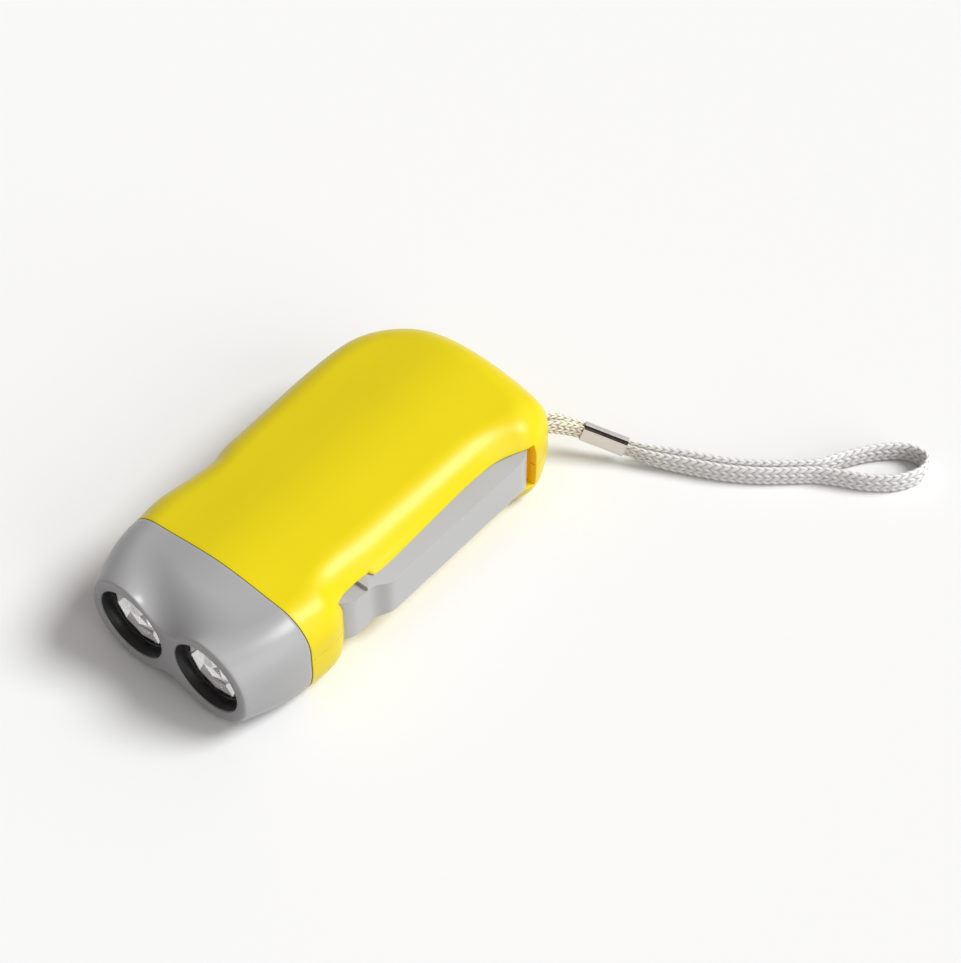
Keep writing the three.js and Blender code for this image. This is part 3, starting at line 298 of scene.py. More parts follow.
YELLOW = moulded("yellow_plastic", (234, 213, 10), rough=0.33, tint=0.03, grain=0.08, ior=1.4)
# Painted light: the slot's end wall and its rib get a brighter orange than the case, for light through the
# plastic.
SLOT_GLOW_YELLOW = moulded("yellow_slot_wall_painted_glow", (254, 196, 0), rough=0.5, tint=0.03, grain=0.08)
# painted glow: an orange emission stands for the light that comes through the plastic into the slot
slot_glow_shader = SLOT_GLOW_YELLOW.node_tree.nodes["Principled BSDF"]
slot_glow_shader.inputs["Emission Color"].default_value = (1, 0.42, 0, 1)
slot_glow_shader.inputs["Emission Strength"].default_value = 0.25
HEAD = moulded("grey_head_plastic", (170, 170, 171), rough=0.29, tint=0.06, grain=0.1)
LEVER = moulded("pale_lever_plastic", (188, 188, 189), rough=0.3, tint=0.02, grain=0.1)
BLACK = moulded("black_plastic", (26, 25, 25), rough=0.38, tint=0.1, grain=0.2)
WHITE = moulded("white_gear_plastic", (226, 223, 212), rough=0.35, tint=0.02)
BOARD = moulded("board_resin", (38, 96, 62), rough=0.4, tint=0.12, grain=0.2, grain_scale=900)
RED_WIRE = moulded("red_wire_jacket", (170, 34, 28), rough=0.4, tint=0.05)
BLACK_WIRE = moulded("black_wire_jacket", (28, 28, 28), rough=0.4, tint=0.05)
STEEL = metallic("bright_steel", (190, 190, 192), rough=0.28)
DARK_STEEL = metallic("magnet_nickel", (98, 99, 104), rough=0.35)
COPPER = metallic("enamelled_copper", (186, 98, 44), rough=0.3, scale=(10, 10, 400), grain=0.5)
CHROME = metallic("plated_cup", (244, 243, 243), rough=0.05, spread=0.02, grain=0.02)
CLIP = metallic("clip_metal", (232, 226, 222), rough=0.34, spread=0.06, scale=(20, 20, 120), grain=0.12)
CLIP.node_tree.nodes["Principled BSDF"].inputs["Metallic"].default_value = 0.6
# Painted reflection: a dark metal colour for the dark reflection on the sleeve's upper faces.
CLIP_DARK_REFLECTION = metallic("clip_top_painted_dark_reflection", (92, 80, 74), rough=0.2, spread=0.05, scale=(20, 20, 120), grain=0.1)


def clear(name, rgb, alpha, rough=0.03, ior=1.46):
    """Clear moulded resin that lets the light behind it through."""
    made, nodes, links, shader = material(name)
    place = nodes.new("ShaderNodeTexCoord")
    ripple = nodes.new("ShaderNodeTexNoise")
    ripple.inputs["Scale"].default_value = 120
    gloss = ramp(nodes, [(0.3, (rough,) * 3), (0.7, (rough * 2,) * 3)])
    links.new(place.outputs["Object"], ripple.inputs["Vector"])
    links.new(ripple.outputs["Fac"], gloss.inputs["Fac"])
    links.new(gloss.outputs["Color"], shader.inputs["Roughness"])
    shader.inputs["Base Color"].default_value = linear(rgb)
    shader.inputs["Transmission Weight"].default_value = 1
    shader.inputs["IOR"].default_value = ior
    shader.inputs["Alpha"].default_value = alpha
    return made


LENS = clear("clear_lens", (250, 252, 253), 0.14)
LED = clear("led_resin", (238, 242, 246), 0.75, rough=0.05)

# ---------------------------------------------------------------- strap and clip
STRAP_ROUTE = [
    (17.5, 93.49, 13.3), (16.53, 94.65, 13.3), (16.53, 96.15, 13.3), (19.66, 101.35, 13.3),
    (20.83, 104.98, 11.6), (25.18, 109.8, 7.8), (30.02, 112.19, 6.3), (34.7, 114.38, 4.8),
    (40.72, 118.1, 3.3), (47.8, 121.8, 2.9), (54.75, 125.15, 2.85), (61.75, 129.78, 2.85),
    (67.13, 134.21, 2.85), (71.9, 138.9, 2.85), (75.2, 144.7, 2.85), (80.2, 151.7, 2.85),
    (85.6, 155.9, 2.85), (90, 155.9, 2.85), (91.2, 152.4, 2.85), (88.8, 146.9, 2.85), (83.6, 142.3, 2.85),
    (77.2, 138.9, 2.85), (72.6, 136.2, 2.85), (68.47, 132.59, 2.85), (63.05, 128.02, 2.85),
    (55.85, 123.25, 2.85), (48.82, 119.8, 2.9), (41.68, 116.3, 3.3), (35.3, 113.22, 4.8),
    (30.58, 111.01, 6.3), (26.02, 108.8, 7.8), (22.66, 103.8, 11.6), (21.64, 100.65, 13.3),
    (20.67, 94.65, 13.3), (19.7, 93.49, 13.3), (18.22, 93.23, 13.3),
]
TAPE_WIDE, TAPE_NARROW, TAPE_THICK, TAPE_FULL = 5.6, 3.9, 0.98, 1.85
CLIP_FROM, CLIP_TO = (25.6, 109.3, 7.8), (35.0, 113.8, 4.8)
ROWS, PITCH = 10, 1.95  # of the braid


def braid_height(across, along):
    """Height from 0 to 1 of a braid of rows side by side, each leaning against the next."""
    lane = across * ROWS
    row = np.floor(lane)
    inside = lane - row - 0.5
    lean = np.where(row % 2 == 0, 1.0, -1.0)
    phase = along / PITCH + lean * inside * 0.8
    strand = np.abs(np.cos(math.pi * phase)) ** 0.6
    return strand * np.sqrt(np.clip(1 - (2 * inside) ** 2 * 0.9, 0, 1))


def smooth_step(value, low, high):
    share = np.clip((value - low) / (high - low), 0, 1)
    return share ** 2 * (3 - 2 * share)


def make_strap():
    curve, length = by_length(catmull(STRAP_ROUTE, 24), 1150)
    tangent = np.gradient(curve, axis=0)
    tangent /= np.linalg.norm(tangent, axis=1)[:, None]
    across = np.stack([tangent[:, 1], -tangent[:, 0], np.zeros(len(curve))], axis=1)
    across /= np.linalg.norm(across, axis=1)[:, None]
    up = np.cross(across, tangent)
    x, y = curve[:, 0], curve[:, 1]
    width = TAPE_NARROW + (TAPE_WIDE - TAPE_NARROW) * smooth_step(x, CLIP_TO[0], 49)
    full = smooth_step(y, 102, 104.5) * (1 - smooth_step(x, 22.6, 25.2) * (1 - smooth_step(x, 36, 42)))
    thick = TAPE_THICK + (TAPE_FULL - TAPE_THICK) * full
    run = np.linspace(0, length, len(curve))
    count = 72
    turns = np.linspace(0, 2 * math.pi, 721)
    a = np.abs(np.cos(turns)) ** 0.6 * np.sign(np.cos(turns)) * 0.9
    b = np.abs(np.sin(turns)) ** 0.85 * np.sign(np.sin(turns)) * 2.8
    walk = np.concatenate([[0], np.cumsum(np.hypot(np.diff(a), np.diff(b)))])
    walk /= walk[-1]
    rings = np.zeros((len(curve), count, 3))
    relief = np.zeros((len(curve), count))
    for k in range(count):
        share = k / count
        flat, high = np.interp(share, walk, a) / 0.9, np.interp(share, walk, b) / 2.8
        relief[:, k] = braid_height(np.full(len(curve), share), run)
        sunk = 1 - relief[:, k]
        rings[:, k] = (curve + across * (flat * (thick / 2 - 0.17 * sunk * thick))[:, None]
                       + up * (high * (width / 2 - 0.3 * sunk))[:, None])
    vertices, faces = loft([[tuple(p) for p in ring] for ring in rings])
    piece = to_object("braided_strap", vertices, faces, "case", smooth=70)
    height = piece.data.attributes.new("braid_height", "FLOAT", "POINT")
    height.data.foreach_set("value", relief.ravel())
    return piece, curve, length


def braided():
    """Silvery yarn: pale strands with a sheen and random tone, painted shade where they dive under, and a
    painted yellow reflection of the case beside it.
    """
    made, nodes, links, shader = material("silver_braid")
    place = nodes.new("ShaderNodeTexCoord")
    yarn = nodes.new("ShaderNodeTexNoise")
    yarn.inputs["Scale"].default_value = 2200
    yarn.inputs["Detail"].default_value = 3
    height = nodes.new("ShaderNodeAttribute")
    height.attribute_name = "braid_height"
    # painted shade: the braid's height darkens the colour in the grooves between strands, mixed with random
    # yarn tone
    yarn_tone_and_groove_shade = nodes.new("ShaderNodeMath")
    yarn_tone_and_groove_shade.operation = "MULTIPLY_ADD"
    yarn_tone_and_groove_shade.inputs[1].default_value = 0.5
    links.new(place.outputs["Object"], yarn.inputs["Vector"])
    links.new(yarn.outputs["Fac"], yarn_tone_and_groove_shade.inputs[0])
    links.new(height.outputs["Fac"], yarn_tone_and_groove_shade.inputs[2])
    silver_and_groove_shade = ramp(nodes, [(0.3, linear((110, 106, 103))), (0.52, linear((216, 214, 212))),
                          (1.0, linear((250, 249, 248)))])
    yellow_reflection_and_groove_shade = ramp(nodes, [(0.3, linear((92, 80, 50))), (0.58, linear((176, 163, 120))),
                        (1.0, linear((242, 238, 226)))])
    links.new(yarn_tone_and_groove_shade.outputs["Value"], silver_and_groove_shade.inputs["Fac"])
    links.new(yarn_tone_and_groove_shade.outputs["Value"], yellow_reflection_and_groove_shade.inputs["Fac"])
    # painted reflection: the yarn turns gold near the yellow case, with painted shade in its grooves too
    spot = nodes.new("ShaderNodeSeparateXYZ")
    links.new(place.outputs["Object"], spot.inputs["Vector"])
    near = nodes.new("ShaderNodeMapRange")
    near.inputs["From Min"].default_value = 0.046
    near.inputs["From Max"].default_value = 0.026
    links.new(spot.outputs["X"], near.inputs["Value"])
    mixed = nodes.new("ShaderNodeMix")
    mixed.data_type = "RGBA"
    links.new(near.outputs["Result"], mixed.inputs["Factor"])
    links.new(silver_and_groove_shade.outputs["Color"], mixed.inputs[6])
    links.new(yellow_reflection_and_groove_shade.outputs["Color"], mixed.inputs[7])
    links.new(mixed.outputs[2], shader.inputs["Base Color"])
    gloss = ramp(nodes, [(0.3, (0.42,) * 3), (0.7, (0.3,) * 3)])
    links.new(yarn.outputs["Fac"], gloss.inputs["Fac"])
    links.new(gloss.outputs["Color"], shader.inputs["Roughness"])
    bump = nodes.new("ShaderNodeBump")
    bump.inputs["Strength"].default_value = 0.5
    bump.inputs["Distance"].default_value = 0.00006
    links.new(yarn.outputs["Fac"], bump.inputs["Height"])
    links.new(bump.outputs["Normal"], shader.inputs["Normal"])
    shader.inputs["Sheen Weight"].default_value = 0.25
    return made


def section_frame(heading):
    across = Vector((heading.y, -heading.x, 0)).normalized()
    return across, across.cross(heading).normalized()


def rounded_box(u, v, corner, steps=5):
    """A rounded rectangle with one more point, inside its upper side."""
    points = []
    for quarter, (cx, cy) in enumerate([(1, 1), (-1, 1), (-1, -1), (1, -1)]):
        if quarter == 1:
            points.append((0.12 * u, v))
        for k in range(steps + 1):
            turn = math.pi / 2 * (quarter + k / steps)
            points.append((cx * (u - corner) + corner * math.cos(turn),
                           cy * (v - corner) + corner * math.sin(turn)))
    return points


def make_clip():
    start, end = Vector(CLIP_FROM), Vector(CLIP_TO)
    heading = (end - start).normalized()
    across, up = section_frame(heading)
    long = (end - start).length
    rings = []

    def ring(at, u, v, corner):
        middle = start + heading * at
        rings.append([tuple(middle + across * a + up * b) for a, b in rounded_box(u, v, corner)])

    u, v, wall = 1.36, 2.3, 0.22
    ring(0.0, u - 0.12, v - 0.12, 0.4)
    ring(0.12, u, v, 0.45)
    for k in range(1, 8):
        share = k / 8
        dent = 0.07 * math.sin(math.pi * share)
        ring(0.12 + (long - 0.24) * share, u - dent, v - dent * 0.5, 0.45)
    ring(long - 0.12, u, v, 0.45)
    ring(long, u - 0.12, v - 0.12, 0.4)
    ring(long, u - wall, v - wall, 0.25)
    ring(0.0, u - wall, v - wall, 0.25)
    vertices, faces = loft(rings, cap_start=False, cap_end=False)
    n = len(rings[0])
    last = (len(rings) - 1) * n
    faces += [(last + i, last + (i + 1) % n, (i + 1) % n, i) for i in range(n)]
    piece = to_object("clip_sleeve", vertices, faces, "case", smooth=40)
    piece.data.materials.append(CLIP)
    piece.data.materials.append(CLIP_DARK_REFLECTION)
    # the upward faces on one side of the sleeve's middle get the painted dark reflection
    near = start - Vector((0, HALF, 0))
    for face in piece.data.polygons:
        if face.normal.dot(up) > 0.7 and (face.center / MM - near).dot(across) > 0.1 * u:
            face.material_index = 1
    return piece


strap, strap_curve, strap_length = make_strap()
strap.data.materials.append(braided())
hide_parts("strap")
clip = make_clip()
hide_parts("strap_clip")

# ---------------------------------------------------------------- case shells
OUTLINE_SHARES = [
    (0.9, -0.12), (0.9, 0.05), (0.9, 0.155), (0.911, 0.193), (0.918, 0.222), (0.911, 0.248), (0.886, 0.267),
    (0.843, 0.282), (0.814, 0.302), (0.807, 0.329), (0.809, 0.353), (0.825, 0.405), (0.829, 0.5),
    (0.834, 0.61), (0.838, 0.72), (0.846, 0.765), (0.869, 0.795), (0.91, 0.823), (0.95, 0.846),
    (0.97, 0.868), (0.961, 0.892), (0.936, 0.911), (0.904, 0.93), (0.868, 0.948), (0.821, 0.963),
    (0.761, 0.976), (0.671, 0.9845), (0.518, 0.992), (0.25, 0.998), (-0.1, 1), (-0.33, 0.9965),
    (-0.5, 0.987), (-0.64, 0.969), (-0.76, 0.943), (-0.86, 0.911), (-0.935, 0.873), (-0.978, 0.832),
    (-0.996, 0.78), (-1, 0.72), (-0.989, 0.62), (-0.974, 0.55), (-0.964, 0.48), (-0.956, 0.435),
    (-0.935, 0.408), (-0.919, 0.392), (-0.921, 0.37), (-0.938, 0.325), (-0.962, 0.28), (-0.978, 0.245),
    (-0.974, 0.21), (-0.957, 0.17), (-0.957, 0.05), (-0.957, -0.12),
]
SLOT = {1: 19.9, -1: 6.7}
SLOT_END_Y = 90.2
SLOT_END_WALL = 1.2
POCKET_RADIUS = 5.9
LIP_FROM = 39.3
LIP_OUT = {3: 1.1, 4: 0.6}  # rows of the upper shell that reach out over the lever's arm
COLUMNS = 320


def crown(x, side):
    share = np.minimum(np.abs(x) / 22, 1)
    return HALF_HEIGHT - DROP[side] * np.sin(math.pi / 2 * share) ** 2


def running_mean(before, values, after, reach):
    """A soft running mean over a row of vectors, with reach more of them at each end."""
    padded = np.vstack([before, values, after])
    window = np.hanning(2 * reach + 3)[1:-1]
    window /= window.sum()
    return np.stack([np.convolve(padded[:, k], window, "valid") for k in range(2)], axis=1)


def case_line():
    """The case's outline from the seam on the lever side round the tail to the seam on the palm side."""
    curve = catmull([(x * HALF_WIDTH, y * LENGTH) for x, y in OUTLINE_SHARES], 30)
    keep = np.nonzero(curve[:, 1] > FRONT_Y)[0]
    first, last = keep[0], keep[-1]
    inner = curve[first:last + 1]
    start = np.array([curve[first - 1][0], FRONT_Y])
    end = np.array([curve[last + 1][0], FRONT_Y])
    line, length = by_length(np.vstack([start, inner, end]), 1600)
    step = length / 1600
    tangent = np.gradient(line, axis=0) / step
    inward = []
    for width in (3.2, 13.0):
        reach = int(width / step)
        soft = running_mean(np.tile([0, 1.0], (reach, 1)), tangent, np.tile([0, -1.0], (reach, 1)), reach)
        soft /= np.linalg.norm(soft, axis=1)[:, None]
        inward.append(np.stack([-soft[:, 1], soft[:, 0]], axis=1))
    reach = int(11 / step)
    ahead = line[0] + np.outer(np.arange(-reach, 0), [0, step])
    behind = line[-1] + np.outer(np.arange(1, reach + 1), [0, -step])
    calm = running_mean(ahead, line, behind, reach)
    return line, inward[0], calm + inward[1] * max(RADIUS.values())


FRONT_Y = SEAM_Y + 0.1
LINE, INWARD, CALM = case_line()


def inset_line(distance):
    """The outline moved inwards: parallel to it near the edge, and a calm curve at the full depth."""
    share = min(distance / max(RADIUS.values()), 1)
    blend = share * share * (3 - 2 * share)
    moved = (LINE + INWARD * distance) * (1 - blend) + (LINE + (CALM - LINE) * share) * blend
    moved[:, 1] = np.maximum(moved[:, 1], FRONT_Y)
    moved[0, 1] = moved[-1, 1] = FRONT_Y
    return moved


def crossings(moved):
    """Where an inset line meets the slot's front pocket and its rear end, as places along it from 0 to 1."""
    n = len(moved) - 1
    near = np.hypot(moved[:, 0] - PIVOT[0], moved[:, 1] - PIVOT[1]) - POCKET_RADIUS
    front = next(i for i in range(n) if near[i] > 0 >= near[i + 1])
    f = front + near[front] / (near[front] - near[front + 1])
    past = moved[:, 1] - SLOT_END_Y
    rear = next(i for i in range(n) if past[i] < 0 <= past[i + 1] and moved[i, 0] > 0)
    r = rear + past[rear] / (past[rear] - past[rear + 1])
    return f / n, r / n


def make_shell(name, side):
    radius, slot_z = RADIUS[side], SLOT[side]
    base_front, base_rear = crossings(inset_line(0.3))
    front_col, rear_col = round(base_front * COLUMNS), round(base_rear * COLUMNS)
    anchors = [0, front_col, rear_col, COLUMNS]
    slot_turn = math.asin((abs(slot_z - MID) - BAND) / (HALF_HEIGHT - DROP[side] - BAND))
    turns = [slot_turn * k / 4 for k in range(1, 5)]
    turns += [slot_turn + (math.pi / 2 - slot_turn) * k / 14 for k in range(1, 15)]
    rows = []

    def row_at(distance, level, out=0):
        moved = inset_line(distance)
        front, rear = crossings(moved) if distance < 2.5 else (base_front, base_rear)
        at = np.interp(np.arange(COLUMNS + 1), anchors, [0, front, rear, 1]) * (len(moved) - 1)
        spots = np.stack([np.interp(at, np.arange(len(moved)), moved[:, k]) for k in range(2)], axis=1)
        y = spots[:, 1]
        lip = out * smooth_step(y, LIP_FROM, LIP_FROM + 0.3) * (1 - smooth_step(y, 41, 74))
        lip[COLUMNS // 2:] = 0
        spots[:, 0] += lip
        rows.append(np.column_stack([spots, np.maximum(MID + side * (level(spots[:, 0]) - 0.3 * lip), 0)]))

    for rise in (0.1, 1.2, 2.2, BAND):
        row_at(0, lambda x, rise=rise: np.full(len(x), rise))
    slot_row = 7
    for k, turn in enumerate(turns):
        out = LIP_OUT.get(k, 0) if side > 0 else 0
        row_at(radius * (1 - math.cos(turn)),
               lambda x, turn=turn: BAND + (crown(x, side) - BAND) * math.sin(turn), out)
    n = COLUMNS + 1
    vertices = [tuple(p) for row in rows for p in row]
    faces = []
    for k in range(len(rows) - 1):
        for i in range(COLUMNS):
            if k < slot_row and front_col <= i < rear_col:
                continue
            faces.append((k * n + i, k * n + i + 1, (k + 1) * n + i + 1, (k + 1) * n + i))
    add_cap(vertices, faces, rows[-1], (len(rows) - 1) * n, side)
    piece = to_object(name, vertices, faces, "case")
    orient(piece.data, side)
    solid = piece.modifiers.new("wall", "SOLIDIFY")
    solid.thickness = WALL * MM
    solid.offset = -1
    apply_modifiers(piece)
    bevel(piece, 0.28, 3, 40)
    return piece


def add_cap(vertices, faces, edge, first, side):
    """Closes the top of a shell with rungs from the lever side to the palm side."""
    steps = 18
    half = COLUMNS // 2
    rungs = []
    for i in range(half):
        a, b = edge[i], edge[COLUMNS - i]
        rung = [first + i]
        for k in range(1, steps):
            x, y = a[:2] + (b[:2] - a[:2]) * k / steps
            rung.append(len(vertices))
            vertices.append((x, y, max(MID + side * float(crown(x, side)), 0)))
        rungs.append(rung + [first + COLUMNS - i])
    for near, far in zip(rungs, rungs[1:]):
        faces += [(near[k], near[k + 1], far[k + 1], far[k]) for k in range(steps)]
    faces += [(rungs[-1][k], rungs[-1][k + 1], first + half) for k in range(steps)]


def paint_slot_end_glow(piece):
    """Gives the case's wall at the rear end of the slot its second material: painted light, a brighter orange
    with a glow for the light that comes through the plastic.
    """
    for face in piece.data.polygons:
        x, y = face.center.x / MM, face.center.y / MM + HALF
        if x > 19 and abs(y - SLOT_END_Y) < 0.7 and face.normal.y < -0.5:
            face.material_index = 1


def orient(mesh, side):
    """Turns the open sheet's faces outwards."""
    top = max(mesh.polygons, key=lambda f: side * f.center.z)
    if top.normal.z * side < 0:
        mesh.flip_normals()


def rib(piece, *bodies, shade=0):
    """Joins plain inner walls to a piece, in one of its materials."""
    work = bmesh.new()
    work.from_mesh(piece.data)
    for vertices, faces in bodies:
        made = [work.verts.new((x * MM, (y - HALF) * MM, z * MM)) for x, y, z in vertices]
        new = [work.faces.new([made[i] for i in face]) for face in faces]
        bmesh.ops.recalc_face_normals(work, faces=new)
        for face in new:
            face.material_index = shade
    work.to_mesh(piece.data)
    work.free()


SCREWS = [(-14, 24.9), (9.3, 24.9), (-16.49, 93), (11, 93)]
SCREW_HEAD_RADIUS = 2.6


def screw_post(x, y, sides=48):
    """The hollow post round a case screw, from the floor of the head's counterbore up."""
    wide, bore, outer = SCREW_HEAD_RADIUS, 1.4, 3.6
    profile = [(wide, 1.5), (wide, 3.0), (bore, 3.0), (bore, 10.0), (outer, 10.0), (outer, 1.5)]
    ring = [(math.cos(2 * math.pi * k / sides), math.sin(2 * math.pi * k / sides)) for k in range(sides)]
    return [(x + r * a, y + r * b, z) for a, b in ring for r, z in profile], turned_faces(sides, len(profile))


def outlet():
    turn = math.radians(-20)
    corners = [(-2.6, -3), (2.6, -3), (2.6, 3), (-2.6, 3)]
    placed = [(20.8 + a * math.cos(turn) - b * math.sin(turn), 101 + a * math.sin(turn) + b * math.cos(turn))
              for a, b in corners]
    return prism(placed, MID - 3, MID + 3)


def switch_window():
    return box(-HALF_WIDTH - 1, -HALF_WIDTH + 5.4, 31.5, 41.5, MID - 2.3, MID + 2.3)


upper = make_shell("upper_case", 1)
cut(upper, [outlet(), switch_window()])
upper.data.materials.append(YELLOW)
upper.data.materials.append(SLOT_GLOW_YELLOW)
# painted glow on the wall at the slot's end and on the rib behind it
paint_slot_end_glow(upper)
rib(upper, box(18.5, 25.2, SLOT_END_Y, SLOT_END_Y + SLOT_END_WALL, MID + 0.02, 20.3), shade=1)
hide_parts("upper_shell")
lower = make_shell("lower_case", -1)
cut(lower, [outlet(), switch_window()] + [disc(x, y, -1, 3, SCREW_HEAD_RADIUS) for x, y in SCREWS])
lower.data.materials.append(YELLOW)
lower.data.materials.append(SLOT_GLOW_YELLOW)
# painted glow on the wall at the slot's end and on the rib behind it
paint_slot_end_glow(lower)
rib(lower, box(18.5, 25.2, SLOT_END_Y, SLOT_END_Y + SLOT_END_WALL, 4.5, MID - 0.02), shade=1)
for x, y in SCREWS:
    rib(lower, screw_post(x, y))
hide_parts("lower_shell")


# ---------------------------------------------------------------- lamp head
def inset_ring(points, distance):
    p = np.array(points)
    before = p - np.roll(p, 1, axis=0)
    after = np.roll(p, -1, axis=0) - p
    before /= np.linalg.norm(before, axis=1)[:, None]
    after /= np.linalg.norm(after, axis=1)[:, None]
    inward = np.stack([-before[:, 1] - after[:, 1], before[:, 0] + after[:, 0]], axis=1)
    inward /= np.linalg.norm(inward, axis=1)[:, None]
    scale = distance / np.maximum(-before[:, 1] * inward[:, 0] + before[:, 0] * inward[:, 1], 0.5)
    return p + inward * scale[:, None]


DIP_SHARE = 0.42


def head_section(along, distance):
    blend = math.sin(math.pi / 2 * min(along, 1))
    inner, outer = 18, 22

    def quarter(wall_x, waist, side_x, side_z):
        radius = RADIUS[side_z]
        corner = wall_x - radius
        line = []
        for k in range(inner):
            share = k / inner
            lobe = waist + (12 - waist) * math.sin(math.pi / 2 * share) ** 2
            front, seam = (share * LAMP_X, lobe), (share * corner, float(crown(share * corner, side_z)))
            early = math.sin(math.pi / 2 * min(along / (1 - DIP_SHARE * (1 - share * share)), 1))
            line.append([side_x * (front[0] + (seam[0] - front[0]) * blend),
                         side_z * (front[1] + (seam[1] - front[1]) * early)])
        for k in range(outer + 1):
            turn = math.pi / 2 * (1 - k / outer)
            across, up = math.cos(turn), math.sin(turn)
            seam_x = corner + radius * across
            front = (LAMP_X + 11.35 * across, 0.8 + 11.2 * up)
            seam = (seam_x, BAND + (float(crown(seam_x, side_z)) - BAND) * up)
            line.append([side_x * (front[0] + (seam[0] - front[0]) * blend),
                         side_z * (front[1] + (seam[1] - front[1]) * blend)])
        return line

    right, left = 25.2, 26.8
    top_right, bottom_right = quarter(right, 6, 1, 1), quarter(right, 8.6, 1, -1)
    top_left, bottom_left = quarter(left, 6, -1, 1), quarter(left, 8.6, -1, -1)
    ring = top_right + bottom_right[::-1] + bottom_left[1:] + top_left[1:][::-1]
    return inset_ring(ring[::-1], distance)


def make_head():
    rings = []

    def ring(y, distance, along=None):
        section = head_section((y if along is None else along) / SEAM_Y, distance)
        rings.append([(x, y, MID + z) for x, z in section])

    for k in range(6):
        turn = math.pi / 2 * k / 5
        ring(0.5 * (1 - math.sin(turn)), 0.5 * (1 - math.cos(turn)))
    rings.reverse()
    for k in range(1, 27):
        ring(0.5 + (SEAM_Y - 0.35 - 0.5) * k / 26, 0)
    ring(SEAM_Y - 0.06, 0.12, SEAM_Y)
    ring(SEAM_Y, 0.3, SEAM_Y)
    ring(SEAM_Y, 2.1, SEAM_Y)
    ring(SEAM_Y + 3, 2.1, SEAM_Y)
    ring(SEAM_Y + 3, 3.6, SEAM_Y)
    ring(9, 3.6)
    vertices, faces = loft(rings, cap_start=False, cap_end=False)
    n = len(rings[0])
    sides = 96
    loops = []
    for x in (-LAMP_X, LAMP_X):
        place = [(0, 9.3), (0.09, 9.09), (0.3, 9.0), (9, 9.0)]
        start = len(vertices)
        for y, radius in place:
            for k in range(sides):
                turn = 2 * math.pi * k / sides
                vertices.append((x + radius * math.cos(turn), y, MID + radius * math.sin(turn)))
        walls = rings_to_faces(len(place), sides, cap_start=False, cap_end=False)
        faces += [tuple(start + i for i in wall) for wall in walls]
        loops.append((list(range(start, start + sides)),
                      list(range(start + (len(place) - 1) * sides, start + len(place) * sides))))
    last = (len(rings) - 1) * n
    for outer, which in ((list(range(n)), 0), (list(range(last, last + n)), 1)):
        groups = [outer] + [loop[which] for loop in loops]
        flat = [i for group in groups for i in group]
        polygon = [[Vector((vertices[i][0], vertices[i][2], 0)) for i in group] for group in groups]
        faces += [tuple(flat[i] for i in tri) for tri in tessellate_polygon(polygon)]
    return to_object("lamp_head", vertices, faces, "case", smooth=38)


head = make_head()
head.data.materials.append(HEAD)
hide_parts("head_bezel")


# ---------------------------------------------------------------- lamps
def make_reflector(name, x):
    """A plated cup: its wall is broken into rows of small flats that lean a little differently."""
    sides = 11
    inside = [(7.85, 3.6), (6.75, 4.6), (5.6, 5.15), (4.45, 5.75), (3.3, 7.6)]
    lean = [0, 0.2, -0.22, 0.2, 0]
    rows = len(inside) - 1
    vertices, faces = [], []
    for k, (radius, y) in enumerate(inside):
        for i in range(sides):
            turn = 2 * math.pi * (i + (0.5 if k % 2 else 0.0) + 0.16 * math.sin(5.1 * i + 2 * k)) / sides
            depth = y + lean[k] * math.sin(2.4 * i + k)
            vertices.append((x + radius * math.cos(turn), depth, MID + radius * math.sin(turn)))
    for k in range(rows):
        for i in range(sides):
            j = (i + 1) % sides
            a, b, c, d = k * sides + i, k * sides + j, (k + 1) * sides + i, (k + 1) * sides + j
            if k % 2:
                faces += [(a, b, d), (a, d, c)]
            else:
                faces += [(a, b, c), (b, d, c)]
    outside = [(radius + (0.7 if k else 0.02), y + 0.45) for k, (radius, y) in enumerate(inside)]
    base = len(vertices)
    for radius, y in outside:
        for i in range(sides):
            turn = 2 * math.pi * i / sides
            vertices.append((x + radius * math.cos(turn), y, MID + radius * math.sin(turn)))
    for k in range(rows):
        for i in range(sides):
            j = (i + 1) % sides
            faces.append((base + k * sides + i, base + (k + 1) * sides + i, base + (k + 1) * sides + j,
                          base + k * sides + j))
    for i in range(sides):
        j = (i + 1) % sides
        faces.append((i, base + i, base + j, j))
        faces.append((rows * sides + i, rows * sides + j, base + rows * sides + j, base + rows * sides + i))
    return to_object(name, vertices, faces, "case", smooth=5)


def half_round(radius, front, base, steps=10):
    points = []
    for k in range(steps + 1):
        turn = math.pi / 2 * (1 - k / steps)
        points.append((radius * math.cos(turn), front + radius * (1 - math.sin(turn))))
    return points + [(radius, base)]


# closed profiles of [radius, distance behind the mouth]
TUBE_PROFILE = [
    (8.0, 2.2), (8.3, 1.4), (8.6, 0.8), (8.8, 0.42), (8.9, 0.36), (8.95, 0.45), (8.95, 1.2), (8.7, 1.5),
    (8.7, 15.7), (7.9, 15.7), (7.9, 3.2), (7.75, 3.1), (7.85, 3.0), (8.0, 2.9),
]
LENS_PROFILE = [
    (0.0, 3.22), (2.5, 3.22), (5.0, 3.22), (7.3, 3.23), (7.75, 3.26), (7.82, 3.32), (7.82, 3.44),
    (7.75, 3.5), (0.0, 3.5),
]
LED_PROFILE = half_round(2.5, 7.0, 14.4) + [(2.9, 14.4), (2.9, 15.4), (0.0, 15.4)]

for side, x in (("left", -LAMP_X), ("right", LAMP_X)):
    tube = to_object(f"lamp_tube_{side}", *turned(TUBE_PROFILE, x, MID), "case", smooth=30)
    tube.data.materials.append(BLACK)
    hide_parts(f"lamp_sleeve_{side}")
    glass = to_object(f"lamp_lens_{side}", *turned(LENS_PROFILE, x, MID), "case", smooth=25)
    glass.data.materials.append(LENS)
    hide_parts(f"lens_{side}")
    cup = make_reflector(f"reflector_cup_{side}", x)
    cup.data.materials.append(CHROME)
    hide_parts(f"reflector_{side}")
    bulb = to_object(f"led_bulb_{side}", *turned(LED_PROFILE, x, MID, 48), "case", smooth=30)
    bulb.data.materials.append(LED)
    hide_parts(f"led_{side}")


